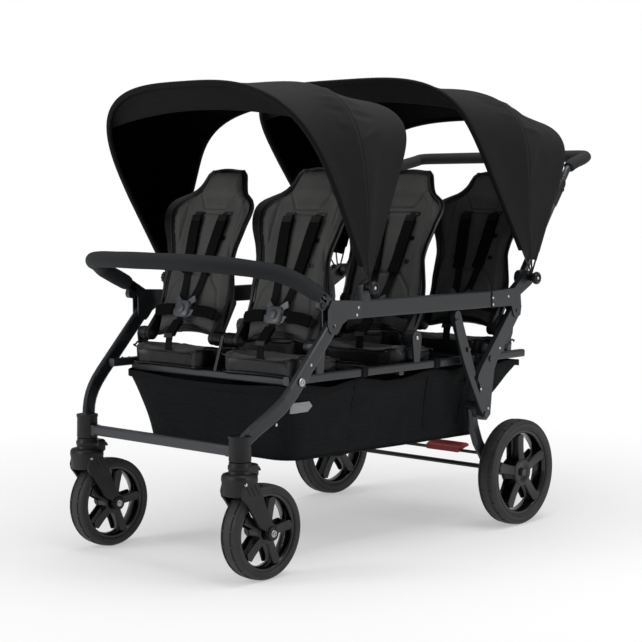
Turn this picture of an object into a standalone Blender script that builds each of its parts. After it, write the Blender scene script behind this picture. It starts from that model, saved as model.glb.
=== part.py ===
"""Six-seat stroller: three rows of two seats on a folding tube frame.

Metres, +Z up. The stroller faces -Y, so its left side is at +X. The sizes below count from a point on the
floor half way between the front and the rear axles, on the middle plane. The finished model is moved along Y
so that the origin is under the middle of its whole length. Every piece is one closed body in its own object.
"""

import math

import bmesh
import bpy
from mathutils import Matrix, Vector

# Sides of the small round parts and of the larger ones
SMALL = 8
ROUND = 12

# Clearances
GAP = 0.0003
RUN = 0.0006
SNUG = 0.0005
WELD = 0.0004

# Wheels
HALF_BASE = 0.4936
REAR_WHEEL_X = 0.3595
REAR_R = 0.153
REAR_W = 0.058
REAR_RIM_R = 0.121
REAR_HUB_R = 0.040
FRONT_WHEEL_X = 0.290
FRONT_R = 0.120
FRONT_W = 0.056
FRONT_RIM_R = 0.097
FRONT_HUB_R = 0.030
RIM_BAND = 0.0075
SPOKES = 5
SPOKE_W = 0.022
AXLE_R = 0.0065
TREAD_EDGE = 0.010

# Casters
TRAIL = 0.0734
TYRE_ROOM = 0.005
CROWN_H = 0.018
HOUSING_H = 0.0417
HOUSING_R = 0.026
STEM_R = 0.006
STEM_L = 0.030
FORK_ROOM = 0.0035
FORK_T = 0.006
NOSE_T = 0.012
SOCKET_H = 0.060
SOCKET_R = 0.0255
CROSSBAR_D = 0.022
CROSSBAR_H = 0.027
LUG_REACH = 0.040

# Lower frame
RAIL_X = 0.330
RAIL_W = 0.020
RAIL_H = 0.022
RAIL_Z = 0.493
RAIL_FRONT = -0.446
RAIL_REAR = 0.560
PIN_R = 0.005
PIN_HEAD_R = 0.009
PIN_HEAD_T = 0.0035

# Parallelogram of the fold
LINK_RUN = 0.120
LINK_RISE = 0.130
FRONT_PIVOT_Y = -0.432
REAR_PIVOT_Y = 0.355

# Legs and struts
LEG_X = 0.359
LEG_T = 0.0166
LEG_D = 0.040
LEG_BEND_Y = -0.455
STRUT_FOOT_Y = 0.325
STRUT_FOOT_Z = 0.338
STRUT_TOP_Y = 0.199
BLADE_T = 0.005
BLADE_W = 0.020
STRUT_R = 0.014

# Upper frame
UPPER_H = 0.047
UPPER_RISE = 0.0145
CHEEK_T = 0.0036
UPPER_FRONT = -0.250
UPPER_REAR = 0.415
CHEEK_R = 0.021

# Rear wheel frame
WHEEL_LEG_X = 0.315
WHEEL_LEG_W = 0.022
WHEEL_LEG_D = 0.036
AXLE_BAR_R = 0.007
BRAKE_BACK = 0.0364
BRAKE_RISE = 0.032
BRAKE_BAR_R = 0.005
BRAKE_SPAN = 0.265
PEDAL_X = 0.067
PEDAL_L = 0.146
PEDAL_D = 0.042
PEDAL_T = 0.008

# Seats
SEAT_X = 0.174
ROW_Y = -0.328
ROW_PITCH = 0.3885
HUB_Z = 0.569
SEAT_TUBE_R = 0.011
RING_R = 0.0195
POST_W = 0.010
HUB_DISC_R = 0.044
BRACKET_T = 0.006
SEAT_HALF = 0.143
SEAT_AHEAD = 0.064
SEAT_BEHIND = 0.120
SEAT_EDGE_H = 0.055
CROSS_RAIL_D = 0.020
CROSS_RAIL_H = 0.0197
CROSS_RAIL_AHEAD = 0.045
BACK_TILT = 20.5
BACK_H = 0.490
BACK_PAD = 0.034
BACK_BEHIND = 0.014
WING = 0.052
LUG_R = 0.018
LUG_W = 0.014
LUG_OFF = 0.126

# Basket
BASKET_DEPTH = 0.200
BASKET_FRONT = -0.410
BASKET_REAR = 0.555
BASKET_HALF = 0.316
BASKET_DRAFT = 0.046
BASKET_RAKE_FRONT = 0.035
BASKET_RAKE_REAR = 0.160
BASKET_WALL = 0.003

# Bumper bar
BUMPER_R = 0.0083
BUMPER_FOAM_R = 0.021
BUMPER_REACH = 0.635
BUMPER_Z = 0.788
BUTTON_R = 0.009
BUTTON_L = 0.0065
BUTTON_TRAVEL = 0.004

# Push handle
HANDLE_X = 0.337
HANDLE_HUB_Y = 0.540
HANDLE_HUB_Z = 0.715
HANDLE_LEAN = 36.5
SLEEVE_R = 0.0125
SLEEVE_L = 0.350
HANDLE_R = 0.010
HANDLE_INSERT = 0.150
HANDLE_BEND = 0.385
HANDLE_BACK_Y = 0.899
HANDLE_TOP_Z = 1.075
GRIP_R = 0.018
HANDLE_EYE_R = 0.022

# Canopies: pivot, then the three bows: tilt from upright (forward is positive), height, height of the shoulder
# where the bow starts to turn in, and how square that turn is (2 is an ellipse)
CANOPY_Y = -0.187
CANOPY_Z = 0.716
BOW_R = 0.0025
EYE_R = 0.009
EYE_T = 0.0052
CANOPY_PIN_R = 0.004
FRONT_BOWS = ((30.1, 0.599, 0.265, 3.1), (6.1, 0.532, 0.180, 3.8), (-20.2, 0.528, 0.350, 2.8))
REAR_BOWS = ((36.7, 0.695, 0.420, 3.8), (7.3, 0.553, 0.335, 2.9), (-23.2, 0.519, 0.325, 2.9))
BOW_SPREAD = (0.390, 0.386, 0.382)
CLOTH_T = 0.0024
PANEL_TRIM = 0.0012
CLOTH_DIP = 0.022

# Places that follow from the sizes above
P1 = Vector((0.0, FRONT_PIVOT_Y, RAIL_Z))
P2 = P1 + Vector((0.0, LINK_RUN, LINK_RISE))
P4 = Vector((0.0, REAR_PIVOT_Y, RAIL_Z))
P3 = P4 + Vector((0.0, LINK_RUN, LINK_RISE))
SWIVEL_Y = -HALF_BASE - TRAIL
CROWN_Z = 2 * FRONT_R + TYRE_ROOM
HOUSING_TOP = CROWN_Z + CROWN_H + HOUSING_H
SOCKET_Z = HOUSING_TOP + GAP
UPPER_LOW = P2.z + UPPER_RISE
UPPER_TOP = UPPER_LOW + UPPER_H
CHEEK_IN = LEG_T / 2 + GAP
UPPER_W = 2 * (CHEEK_IN + WELD)
STRUT_FOOT = Vector((0.0, STRUT_FOOT_Y, STRUT_FOOT_Z))
STRUT_TOP = Vector((0.0, STRUT_TOP_Y, UPPER_LOW - GAP - STRUT_R))
CROSS_RAIL_TOP = RAIL_Z - RAIL_H / 2 + 0.0077
SEAT_Z = CROSS_RAIL_TOP + GAP
HANDLE_HUB = Vector((0.0, HANDLE_HUB_Y, HANDLE_HUB_Z))
CANOPY_HUB = Vector((0.0, CANOPY_Y, CANOPY_Z))
EYE_X = LEG_X + UPPER_W / 2 + GAP
ORIGIN_Y = (HANDLE_BACK_Y + GRIP_R - BUMPER_REACH - BUMPER_FOAM_R) / 2
SIDES = (("left", 1), ("right", -1))


def clear_scene():
    for old in list(bpy.data.objects):
        bpy.data.objects.remove(old, do_unlink=True)


def material(name, colour, roughness, metallic=0.0):
    """A Principled BSDF material from a linear colour."""
    made = bpy.data.materials.get(name) or bpy.data.materials.new(name)
    made.use_nodes = True
    shader = made.node_tree.nodes["Principled BSDF"]
    shader.inputs["Base Color"].default_value = (*colour, 1.0)
    shader.inputs["Roughness"].default_value = roughness
    shader.inputs["Metallic"].default_value = metallic
    return made


def frame_paint():
    return material("frame_paint", (0.042, 0.047, 0.055), 0.38, 0.6)


def black_plastic():
    return material("black_plastic", (0.014, 0.014, 0.016), 0.45)


def black_cloth():
    return material("black_cloth", (0.010, 0.010, 0.011), 0.85)


def make(name, rings, loop=False, look=None, smooth=True):
    """One closed mesh through rings of points: capped at both ends, or joined end to end when loop is set."""
    bm = bmesh.new()
    rows = [[bm.verts.new(p) for p in ring] for ring in rings]
    count = len(rows[0])
    pairs = list(zip(rows, rows[1:]))
    if loop:
        pairs.append((rows[-1], rows[0]))
    for low, high in pairs:
        for i in range(count):
            j = (i + 1) % count
            bm.faces.new((low[i], low[j], high[j], high[i]))
    if not loop:
        bm.faces.new(rows[0][::-1])
        bm.faces.new(rows[-1])
    return wrap(name, bm, look, smooth)


def wrap(name, bm, look=None, smooth=True):
    bmesh.ops.recalc_face_normals(bm, faces=bm.faces)
    mesh = bpy.data.meshes.new(name)
    bm.to_mesh(mesh)
    bm.free()
    obj = bpy.data.objects.new(name, mesh)
    bpy.context.scene.collection.objects.link(obj)
    if smooth:
        mesh.shade_smooth()
        mesh.set_sharp_from_angle(angle=math.radians(35))
    if look:
        mesh.materials.append(look)
    return obj


def guide(obj):
    """Marks a cutter or an added shape, which shows only through the object that uses it."""
    obj.hide_render = True
    obj.display_type = "WIRE"
    return obj


def combine(obj, tools, operation="UNION"):
    for tool in tools:
        step = obj.modifiers.new(tool.name, "BOOLEAN")
        step.operation = operation
        step.solver = "EXACT"
        step.object = guide(tool)
    return obj


def cut(obj, tools):
    return combine(obj, tools, "DIFFERENCE")


def settle(obj, origin, parent=None):
    """Moves an object's origin to a world point, on the axis that it turns or slides on, under its body."""
    obj.data.transform(Matrix.Translation(-Vector(origin)))
    base = parent.location if parent else Vector()
    obj.location = Vector(origin) - base
    obj.parent = parent
    return obj


def body(name, place):
    empty = bpy.data.objects.new(name, None)
    empty.empty_display_size = 0.05
    bpy.context.scene.collection.objects.link(empty)
    empty.location = place
    return empty


def circle(radius, count, phase=0.0):
    turn = 2 * math.pi / count
    return [(radius * math.cos(phase + turn * i), radius * math.sin(phase + turn * i)) for i in range(count)]


def bore(radius, count, room=RUN):
    """Radius of a count-sided hole whose flats clear a shaft by room."""
    return (radius + room) / math.cos(math.pi / count)


def rounded_rect(width, height, radius, count=3):
    """Section of a tube with rounded corners, count points to each corner."""
    points = []
    for k, (sx, sy) in enumerate(((1, 1), (-1, 1), (-1, -1), (1, -1))):
        cx = sx * (width / 2 - radius)
        cy = sy * (height / 2 - radius)
        for i in range(count):
            a = math.pi / 2 * (k + i / (count - 1))
            points.append((cx + radius * math.cos(a), cy + radius * math.sin(a)))
    return points


def frames(path, ref):
    """Tangent, side and normal at each point of a path, the side kept close to ref."""
    made = []
    for i, p in enumerate(path):
        before = path[max(i - 1, 0)]
        after = path[min(i + 1, len(path) - 1)]
        t = (after - before).normalized()
        side = (ref - ref.dot(t) * t).normalized()
        made.append((p, side, t.cross(side)))
    return made


def rolled(path, ref):
    """Frames that never twist about the path, carried both ways from its middle."""
    made = frames(path, ref)
    middle = len(path) // 2
    for order in (range(middle + 1, len(path)), range(middle - 1, -1, -1)):
        side = made[middle][1]
        for i in order:
            p, old, up = made[i]
            t = old.cross(up)
            side = (side - side.dot(t) * t).normalized()
            made[i] = (p, side, t.cross(side))
    return made


def rings_along(path, section, ref, roll=False):
    path = [Vector(p) for p in path]
    made = rolled(path, Vector(ref)) if roll else frames(path, Vector(ref))
    return [[p + side * a + up * b for a, b in section] for p, side, up in made]


def sweep(name, path, section, ref=(1, 0, 0), look=None, roll=False):
    return make(name, rings_along(path, section, ref, roll), look=look)


def sleeve(name, path, outer, inner, ref, look, skip=0):
    """A hollow tube along a path, open at both ends, that leaves out skip points at each end."""
    out = rings_along(path, outer, ref, True)[skip : len(path) - skip]
    lining = rings_along(path, inner, ref, True)[skip : len(path) - skip]
    return make(name, out + lining[::-1], loop=True, look=look)


def rod(name, start, end, radius, count=SMALL, look=None):
    start, end = Vector(start), Vector(end)
    along = (end - start).normalized()
    ref = Vector((0, 0, 1)) if abs(along.z) < 0.7 else Vector((0, 1, 0))
    return sweep(name, [start, end], circle(radius, count), ref, look)


def prism(name, outline, x0, x1, look=None):
    """A side view outline, as (y, z) points, extruded between two x values."""
    return make(name, [[Vector((x, y, z)) for y, z in outline] for x in (x0, x1)], look=look)


def block(name, low, high, look=None):
    (x0, y0, z0), (x1, y1, z1) = low, high
    return prism(name, [(y0, z0), (y1, z0), (y1, z1), (y0, z1)], x0, x1, look)


def hull(points):
    """Convex outline round (y, z) points."""
    points = sorted(set((round(y, 7), round(z, 7)) for y, z in points))

    def half(run):
        out = []
        for p in run:
            while len(out) > 1 and (
                (out[-1][0] - out[-2][0]) * (p[1] - out[-2][1]) - (out[-1][1] - out[-2][1]) * (p[0] - out[-2][0])
            ) <= 1e-12:
                out.pop()
            out.append(p)
        return out[:-1]

    return half(points) + half(points[::-1])


def link_outline(*ends, count=10):
    """Outline of a flat link round several ends, each given as (y, z, radius)."""
    points = []
    for y, z, r in ends:
        points += [(y + a, z + b) for a, b in circle(r, count)]
    return hull(points)


def disc(name, y, z, radius, x0, x1, count=12, look=None):
    return prism(name, [(y + a, z + b) for a, b in circle(radius, count)], x0, x1, look)


def turned(name, centre, steps, look=None, count=ROUND):
    """A turned piece on an x axis through centre, from (x, radius) steps."""
    rings = [[centre + Vector((x, a, b)) for a, b in circle(r, count)] for x, r in steps]
    return make(name, rings, look=look)


def bezier(p0, p1, p2, p3, count):
    points = []
    for i in range(count + 1):
        t = i / count
        s = 1 - t
        points.append(p0 * s**3 + p1 * 3 * s * s * t + p2 * 3 * s * t * t + p3 * t**3)
    return points


def smooth_path(points, steps):
    """A smooth curve through the given points."""
    pts = [Vector(p) for p in points]
    pts = [2 * pts[0] - pts[1]] + pts + [2 * pts[-1] - pts[-2]]
    path = []
    for i in range(1, len(pts) - 2):
        a, b, c, d = pts[i - 1 : i + 3]
        for k in range(steps):
            t = k / steps
            path.append(
                0.5 * (2 * b + (c - a) * t + (2 * a - 5 * b + 4 * c - d) * t * t + (3 * b - a - 3 * c + d) * t**3)
            )
    path.append(pts[-2])
    return path


def span(side, near, far):
    """An x range on one side of the stroller, low value first."""
    return sorted((side * near, side * far))


def ring_of(profile, centre, count):
    """Rings of a turned profile, given as (radius, x), round an x axis through centre, a vertex lowest."""
    rings = []
    for i in range(count):
        a = -math.pi / 2 + 2 * math.pi * i / count
        rings.append([centre + Vector((x, r * math.cos(a), r * math.sin(a))) for r, x in profile])
    return rings


# A wheel is a foam tyre on a moulded rim with five paddle spokes and a domed hub
def wheel(name, centre, radius, width, rim_r, hub_r, parent, count):
    inner = rim_r + GAP
    half = width / 2
    tread = half - TREAD_EDGE
    side = [(inner, half - 0.004), (radius - 0.013, half), (radius, tread)]
    profile = side + [(r, -x) for r, x in side[::-1]]
    tyre = make(
        f"{name}_tyre",
        ring_of(profile, centre, count),
        loop=True,
        look=material("tyre_rubber", (0.020, 0.020, 0.021), 0.8),
    )
    hole = AXLE_R + RUN
    window = rim_r - RIM_BAND
    hub_x, web_x, band_x = half - 0.004, 0.006, half - 0.008
    face = [(hole, hub_x), (hub_r * 0.75, hub_x), (hub_r + 0.004, web_x), (window, band_x), (rim_r, band_x)]
    rim = make(
        f"{name}_rim",
        ring_of(face + [(r, -x) for r, x in face[::-1]], centre, count),
        loop=True,
        look=black_plastic(),
    )
    step = 2 * math.pi / SPOKES
    near, far = hub_r + 0.010, window - 0.004
    windows = []
    for k in range(SPOKES):
        mid = step * k + math.pi / 2
        gap_near = step / 2 - SPOKE_W / 2 / near
        gap_far = step / 2 - SPOKE_W * 0.72 / far
        outline = [(near, -gap_near), (near, gap_near)]
        outline += [(far, gap_far * (1 - t)) for t in range(3)]
        places = [(centre.y + r * math.cos(mid + a), centre.z + r * math.sin(mid + a)) for r, a in outline]
        windows.append(prism(f"{name}_window_{k}", places, centre.x - half, centre.x + half))
    cut(rim, windows)
    settle(tyre, centre, parent)
    settle(rim, centre, parent)


def casters(leg_body):
    """Each fork turns on a stem in the leg's socket, and its wheel turns on a bolt between the arms."""
    for name, s in SIDES:
        x = s * FRONT_WHEEL_X
        axle = Vector((x, -HALF_BASE, FRONT_R))
        swivel = Vector((x, SWIVEL_Y, SOCKET_Z))
        turn = body(f"caster_{name}", swivel)
        half = FRONT_W / 2 + FORK_ROOM
        outer = half + FORK_T
        crown = rod(f"fork_{name}", (x, SWIVEL_Y, CROWN_Z + 0.004), (x, SWIVEL_Y, HOUSING_TOP), HOUSING_R, ROUND,
                    black_plastic())
        slab = link_outline((SWIVEL_Y - 0.010, CROWN_Z + CROWN_H - 0.009, 0.009),
                            (SWIVEL_Y + 0.024, CROWN_Z + CROWN_H - 0.009, 0.009))
        shapes = [prism(f"crown_{name}", slab, x - outer, x + outer)]
        arm = link_outline((SWIVEL_Y + 0.004, CROWN_Z + CROWN_H - 0.026, 0.026), (axle.y, axle.z, 0.016))
        for k, t in enumerate((-1, 1)):
            x0, x1 = sorted((x + t * half, x + t * outer))
            shapes.append(prism(f"arm_{name}_{k}", arm, x0, x1))
            x0, x1 = sorted((x + t * (outer - 0.002), x + t * (outer + 0.003)))
            shapes.append(disc(f"bolt_head_{name}_{k}", axle.y, axle.z, 0.009, x0, x1, 12))
        near, far = FRONT_R + TYRE_ROOM, FRONT_R + TYRE_ROOM + NOSE_T
        sweep_by = [math.radians(20 + 9 * i) for i in range(5)]
        nose = [(axle.y - far * math.sin(a), axle.z + far * math.cos(a)) for a in sweep_by]
        nose += [(axle.y - near * math.sin(a), axle.z + near * math.cos(a)) for a in sweep_by[::-1]]
        shapes.append(prism(f"nose_{name}", nose, x - outer, x + outer))
        shapes.append(rod(f"stem_{name}", swivel - Vector((0, 0, 0.01)), swivel + Vector((0, 0, STEM_L)), STEM_R))
        shapes.append(disc(f"wheel_bolt_{name}", axle.y, axle.z, AXLE_R, x - outer, x + outer, SMALL))
        combine(crown, shapes)
        settle(crown, swivel, turn)
        spin = body(f"front_wheel_{name}", axle)
        wheel(f"front_{name}", axle, FRONT_R, FRONT_W, FRONT_RIM_R, FRONT_HUB_R, spin, 24)


def front_legs(leg_body):
    """Flat-oval tubes from the upper joint down past the rail, bent in to the caster sockets."""
    knee = Vector((LEG_X, LEG_BEND_Y, P1.z + (LEG_BEND_Y - P1.y) * LINK_RISE / LINK_RUN))
    down = (P1 - P2).normalized()
    foot = Vector((FRONT_WHEEL_X, SWIVEL_Y + 0.006, SOCKET_Z + SOCKET_H * 0.6))
    bend = bezier(knee, knee + down * 0.075, foot + Vector((0.020, 0.014, 0.045)), foot, 7)
    for name, s in SIDES:
        flip = Vector((s, 1, 1))
        top = Vector((LEG_X, P2.y, P2.z))
        path = [Vector(p * flip) for p in [top] + bend]
        leg = sweep(f"front_leg_{name}", path, rounded_rect(LEG_T, LEG_D, 0.0065, 3), look=frame_paint())
        x = s * FRONT_WHEEL_X
        lug_end = x - s * LUG_REACH
        lug = [(SWIVEL_Y - CROSSBAR_D / 2, SOCKET_Z + 0.0085), (SWIVEL_Y + CROSSBAR_D / 2, SOCKET_Z + 0.0085)]
        lug += [(y, z + CROSSBAR_H) for y, z in lug[::-1]]
        x0, x1 = span(s, LEG_X - LEG_T / 2, LEG_X + LEG_T / 2)
        combine(leg, [
            rod(f"socket_{name}", (x, SWIVEL_Y, SOCKET_Z), (x, SWIVEL_Y, SOCKET_Z + SOCKET_H), SOCKET_R, ROUND),
            prism(f"lug_{name}", lug, min(x, lug_end), max(x, lug_end)),
            disc(f"leg_top_{name}", P2.y, P2.z, LEG_D / 2, x0, x1),
        ])
        hole = bore(PIN_R, SMALL)
        cut(leg, [
            rod(f"stem_bore_{name}", (x, SWIVEL_Y, SOCKET_Z - 0.01), (x, SWIVEL_Y, SOCKET_Z + STEM_L + RUN),
                bore(STEM_R, SMALL)),
            disc(f"leg_bore_top_{name}", P2.y, P2.z, hole, x0 - 0.01, x1 + 0.01, SMALL),
            disc(f"leg_bore_low_{name}", P1.y, P1.z, hole, x0 - 0.01, x1 + 0.01, SMALL),
        ])
        settle(leg, P1, leg_body)
    end = FRONT_WHEEL_X - LUG_REACH - GAP
    bar = rounded_rect(CROSSBAR_D, CROSSBAR_H, 0.006)
    z = SOCKET_Z + 0.0085 + CROSSBAR_H / 2
    settle(sweep("front_crossbar", [(-end, SWIVEL_Y, z), (end, SWIVEL_Y, z)], bar, (0, 1, 0), frame_paint()),
           P1, leg_body)


def rows():
    return [("front", ROW_Y), ("middle", ROW_Y + ROW_PITCH), ("rear", ROW_Y + 2 * ROW_PITCH)]


def lower_rails():
    """Side rails of the seat frame, with the brackets that hold the seat tubes and the pins of the legs."""
    for name, s in SIDES:
        x = s * RAIL_X
        rail = sweep(f"lower_rail_{name}", [(x, RAIL_FRONT, RAIL_Z), (x, RAIL_REAR, RAIL_Z)],
                     rounded_rect(RAIL_W, RAIL_H, 0.005), look=frame_paint())
        shapes = []
        inner = LEG_X - LEG_T / 2 - GAP
        outer = LEG_X + LEG_T / 2 + GAP
        for k, pivot in enumerate((P1, P4)):
            steps = [(RAIL_X, 0.0105), (inner, 0.0105), (inner, PIN_R), (outer, PIN_R), (outer, PIN_HEAD_R),
                     (outer + PIN_HEAD_T, PIN_HEAD_R)]
            shapes.append(turned(f"pin_{name}_{k}", pivot, [(s * at, r) for at, r in steps], count=SMALL))
        plate_in = RAIL_X + 0.001
        plate_out = plate_in + BRACKET_T
        for row, y in rows():
            plate = link_outline((y, RAIL_Z, RAIL_H / 2 - 0.0005), (y, HUB_Z, RING_R))
            shapes.append(prism(f"bracket_{name}_{row}", plate, *span(s, plate_in, plate_out)))
            inner = RAIL_X + 0.0015
            ring = SEAT_X + LUG_OFF + LUG_W / 2 + GAP
            steps = [(SEAT_X + LUG_OFF - LUG_W / 2, SEAT_TUBE_R), (ring, SEAT_TUBE_R), (ring, RING_R), (inner, RING_R)]
            shapes.append(turned(f"hub_stub_{name}_{row}", Vector((0, y, HUB_Z)), [(s * at, r) for at, r in steps]))
        last = rows()[-1][1]
        shapes.append(disc(f"hub_disc_{name}", last, HUB_Z, HUB_DISC_R, *span(s, plate_out - 0.001, plate_out + 0.008),
                           20))
        combine(rail, shapes)
        settle(rail, (x, 0, RAIL_Z))


def cross_rails():
    """A flat tube under each row of seats, between the side rails, with the post that holds the row's middle hub."""
    end = RAIL_X - RAIL_W / 2 - GAP
    for row, y in rows():
        z = CROSS_RAIL_TOP - CROSS_RAIL_H / 2
        place = y - CROSS_RAIL_AHEAD
        bar = sweep(f"cross_rail_{row}", [(-end, place, z), (end, place, z)],
                    rounded_rect(CROSS_RAIL_D, CROSS_RAIL_H, 0.004), (0, 1, 0), frame_paint())
        eye = SEAT_TUBE_R + 0.007
        post = link_outline((place + 0.004, z + 0.002, 0.0065), (y, HUB_Z, eye), (y, HUB_Z - 0.030, 0.012))
        combine(bar, [prism(f"post_{row}", post, -POST_W / 2, POST_W / 2)])
        cut(bar, [disc(f"post_bore_{row}", y, HUB_Z, bore(SEAT_TUBE_R, ROUND), -POST_W, POST_W)])
        settle(bar, (0, place, z))


def seat_hubs():
    """The ribbed middle hub that both backs of a row turn with, and the row's seats."""
    end = SEAT_X - LUG_OFF + LUG_W / 2
    for row, y in rows():
        hub = Vector((0, y, HUB_Z))
        turn = body(f"row_{row}", hub)
        inner, outer = POST_W / 2 + GAP, SEAT_X - LUG_OFF - LUG_W / 2 - GAP
        ribs = [inner + (outer - inner) * t for t in (0.0, 0.26, 0.34, 0.66, 0.74, 1.0)]
        half = [(ribs[0], SEAT_TUBE_R)]
        for a, b in zip(ribs[::2], ribs[1::2]):
            half += [(a, RING_R), (b, RING_R), (b, RING_R - 0.002), (b + (ribs[2] - ribs[1]), RING_R - 0.002)]
        half = half[:-2] + [(outer, SEAT_TUBE_R), (end, SEAT_TUBE_R)]
        tube = turned(f"seat_hub_{row}", hub, [(-x, r) for x, r in half[::-1]] + half, black_plastic())
        settle(tube, hub, turn)
        for name, s in SIDES:
            seat_back(row, name, s, hub, turn)
            seat_base(row, name, s, y)


def shape_between(table, value):
    """Reads a smooth curve through (position, size) pairs."""
    for (a, fa), (b, fb) in zip(table, table[1:]):
        if value <= b:
            t = max(0.0, (value - a) / (b - a))
            return fa + (fb - fa) * t * t * (3 - 2 * t)
    return table[-1][1]


def padded(name, front, back, look):
    """A closed pad between two grids of points that share their outline."""
    bm = bmesh.new()
    tops = [[bm.verts.new(p) for p in row] for row in front]
    lows = [[bm.verts.new(p) for p in row] for row in back]
    m, n = len(tops), len(tops[0])
    for i in range(m - 1):
        for j in range(n - 1):
            bm.faces.new((tops[i][j], tops[i][j + 1], tops[i + 1][j + 1], tops[i + 1][j]))
            bm.faces.new((lows[i][j], lows[i + 1][j], lows[i + 1][j + 1], lows[i][j + 1]))
    edge = [(0, j) for j in range(n)] + [(i, n - 1) for i in range(1, m)]
    edge += [(m - 1, j) for j in range(n - 2, -1, -1)] + [(i, 0) for i in range(m - 2, 0, -1)]
    for (a, b), (c, d) in zip(edge, edge[1:] + edge[:1]):
        bm.faces.new((tops[a][b], lows[a][b], lows[c][d], tops[c][d]))
    return wrap(name, bm, look)


# Half width of the seat back at heights along it: waist, winged shoulders, then the narrow headrest
BACK_OUTLINE = ((0.030, 0.134), (0.080, 0.143), (0.150, 0.142), (0.225, 0.130), (0.310, 0.160), (0.350, 0.169),
                (0.375, 0.166), (0.398, 0.140), (0.418, 0.104), (0.445, 0.086), (0.490, 0.064))


def seat_back(row, name, s, hub, parent):
    """Padded bucket back: side wings at the shoulders, a headrest, sewn channels and an arched lower edge."""
    tilt = math.radians(BACK_TILT)
    along = Vector((0, math.sin(tilt), math.cos(tilt)))
    ahead = Vector((0, -math.cos(tilt), math.sin(tilt)))
    centre = Vector((s * SEAT_X, 0, 0)) + hub
    scale = BACK_H / BACK_OUTLINE[-1][0]
    across, up = 8, 8
    front, back = [], []
    for i in range(up + 1):
        t = i / up
        top_row, low_row = [], []
        for j in range(across + 1):
            q = 2 * j / across - 1
            arch = 0.030 + 0.022 * (1 - q * q)
            u = arch + (BACK_H - 0.010 * q * q - arch) * t
            half = shape_between(BACK_OUTLINE, u / scale)
            bump = shape_between(((0.13, 0.0), (0.32, 1.0), (0.385, 0.75), (0.425, 0.0)), u / scale)
            wing = WING * bump * max(0.0, (abs(q) - 0.5) / 0.5) ** 1.4
            crown = 0.010 * (1 - q * q) * math.sin(math.pi * min(1.0, 0.08 + t))
            channel = 0.005 if abs(abs(q) - 0.5) < 0.01 and 0 < i < up else 0.0
            rim = max(abs(q), abs(2 * t - 1)) > 0.999
            v = wing - BACK_BEHIND + (0 if rim else crown - channel)
            depth = 0.012 if rim else BACK_PAD * (1 - 0.45 * q * q)
            base = centre + Vector((q * half, 0, 0)) + along * u
            top_row.append(base + ahead * v)
            low_row.append(base + ahead * (v - depth))
        front.append(top_row)
        back.append(low_row)
    pad = padded(f"seat_back_{row}_{name}", front, back, material("seat_cloth", (0.042, 0.042, 0.041), 0.8))
    eye = (hub.y, hub.z, LUG_R)
    foot = hub + along * 0.075 - ahead * (BACK_BEHIND + 0.014)
    arm = link_outline(eye, (foot.y, foot.z, 0.011))
    shapes, bores = [], []
    for k, t in enumerate((-1, 1)):
        x = centre.x + t * LUG_OFF
        shapes.append(prism(f"lug_{row}_{name}_{k}", arm, x - LUG_W / 2, x + LUG_W / 2))
        bores.append(disc(f"lug_bore_{row}_{name}_{k}", hub.y, hub.z, bore(SEAT_TUBE_R, ROUND), x - LUG_W, x + LUG_W, ROUND))
    cut(combine(pad, shapes), bores)
    settle(pad, hub, parent)


def seat_base(row, name, s, y):
    """Seat cushion with a raised front edge that dips for the legs and a seat that falls to the back."""
    across, deep = 8, 4
    front, back = [], []
    depth = SEAT_AHEAD + SEAT_BEHIND
    for i in range(deep + 1):
        t = i / deep
        top_row, low_row = [], []
        for j in range(across + 1):
            q = 2 * j / across - 1
            corner = 0.030 * max(0.0, (abs(q) - 0.6) / 0.4) ** 2
            nose = 0.010 * (1 - abs(q)) ** 2
            ahead = SEAT_AHEAD - corner + nose
            behind = SEAT_BEHIND - corner
            place = y - ahead + (ahead + behind) * t
            narrow = 1 - 0.10 * max(0.0, 0.3 - t) / 0.3 - 0.08 * max(0.0, t - 0.8) / 0.2
            x = s * SEAT_X + q * SEAT_HALF * narrow
            edge = SEAT_EDGE_H * (0.80 + 0.20 * abs(q) ** 2)
            bowl = 0.016 * (1 - q * q) * math.sin(math.pi * t)
            channel = 0.004 if abs(abs(q) - 0.5) < 0.01 and 0 < i < deep else 0.0
            lift = edge - 0.012 * t - (bowl if 0 < i < deep else 0.004) - channel
            if abs(q) > 0.999:
                lift -= 0.006
            top_row.append((x, place, SEAT_Z + lift))
            low_row.append((x, place, SEAT_Z))
        front.append(top_row)
        back.append(low_row)
    settle(padded(f"seat_base_{row}_{name}", front, back, material("seat_cloth", (0.042, 0.042, 0.041), 0.8)),
           (s * SEAT_X, y - SEAT_AHEAD + depth / 2, SEAT_Z))


def basket():
    """Cloth tray under the seats: sloped walls, a rear wall that rakes most near its rim, and an open top."""
    top = CROSS_RAIL_TOP - CROSS_RAIL_H - GAP

    def ring(z, grow, t, rake):
        y0 = BASKET_FRONT + BASKET_RAKE_FRONT * t - grow
        y1 = BASKET_REAR - BASKET_RAKE_REAR * rake + grow
        a = BASKET_HALF - BASKET_DRAFT * t + grow
        c = 0.035
        half = [(0, y0), (a - c, y0), (a - c * 0.3, y0 + c * 0.3), (a, y0 + c), (a, y1 - c), (a - c * 0.3, y1 - c * 0.3),
                (a - c, y1), (0, y1)]
        half += [(-x, y) for x, y in half[-2:0:-1]]
        return [Vector((x, y, z)) for x, y in half]

    low = top - BASKET_DEPTH
    w = BASKET_WALL
    levels = [(low, 1.0, 1.0), (top - BASKET_DEPTH * 0.55, 0.55, 0.72), (top, 0.0, 0.0)]
    outer = [ring(z, 0, t, rake) for z, t, rake in levels]
    inner = [ring(max(z, low + w), -w, t, rake) for z, t, rake in levels]
    tray = make("basket", outer + inner[::-1], look=black_cloth())
    settle(tray, (0, 0, top))


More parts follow.
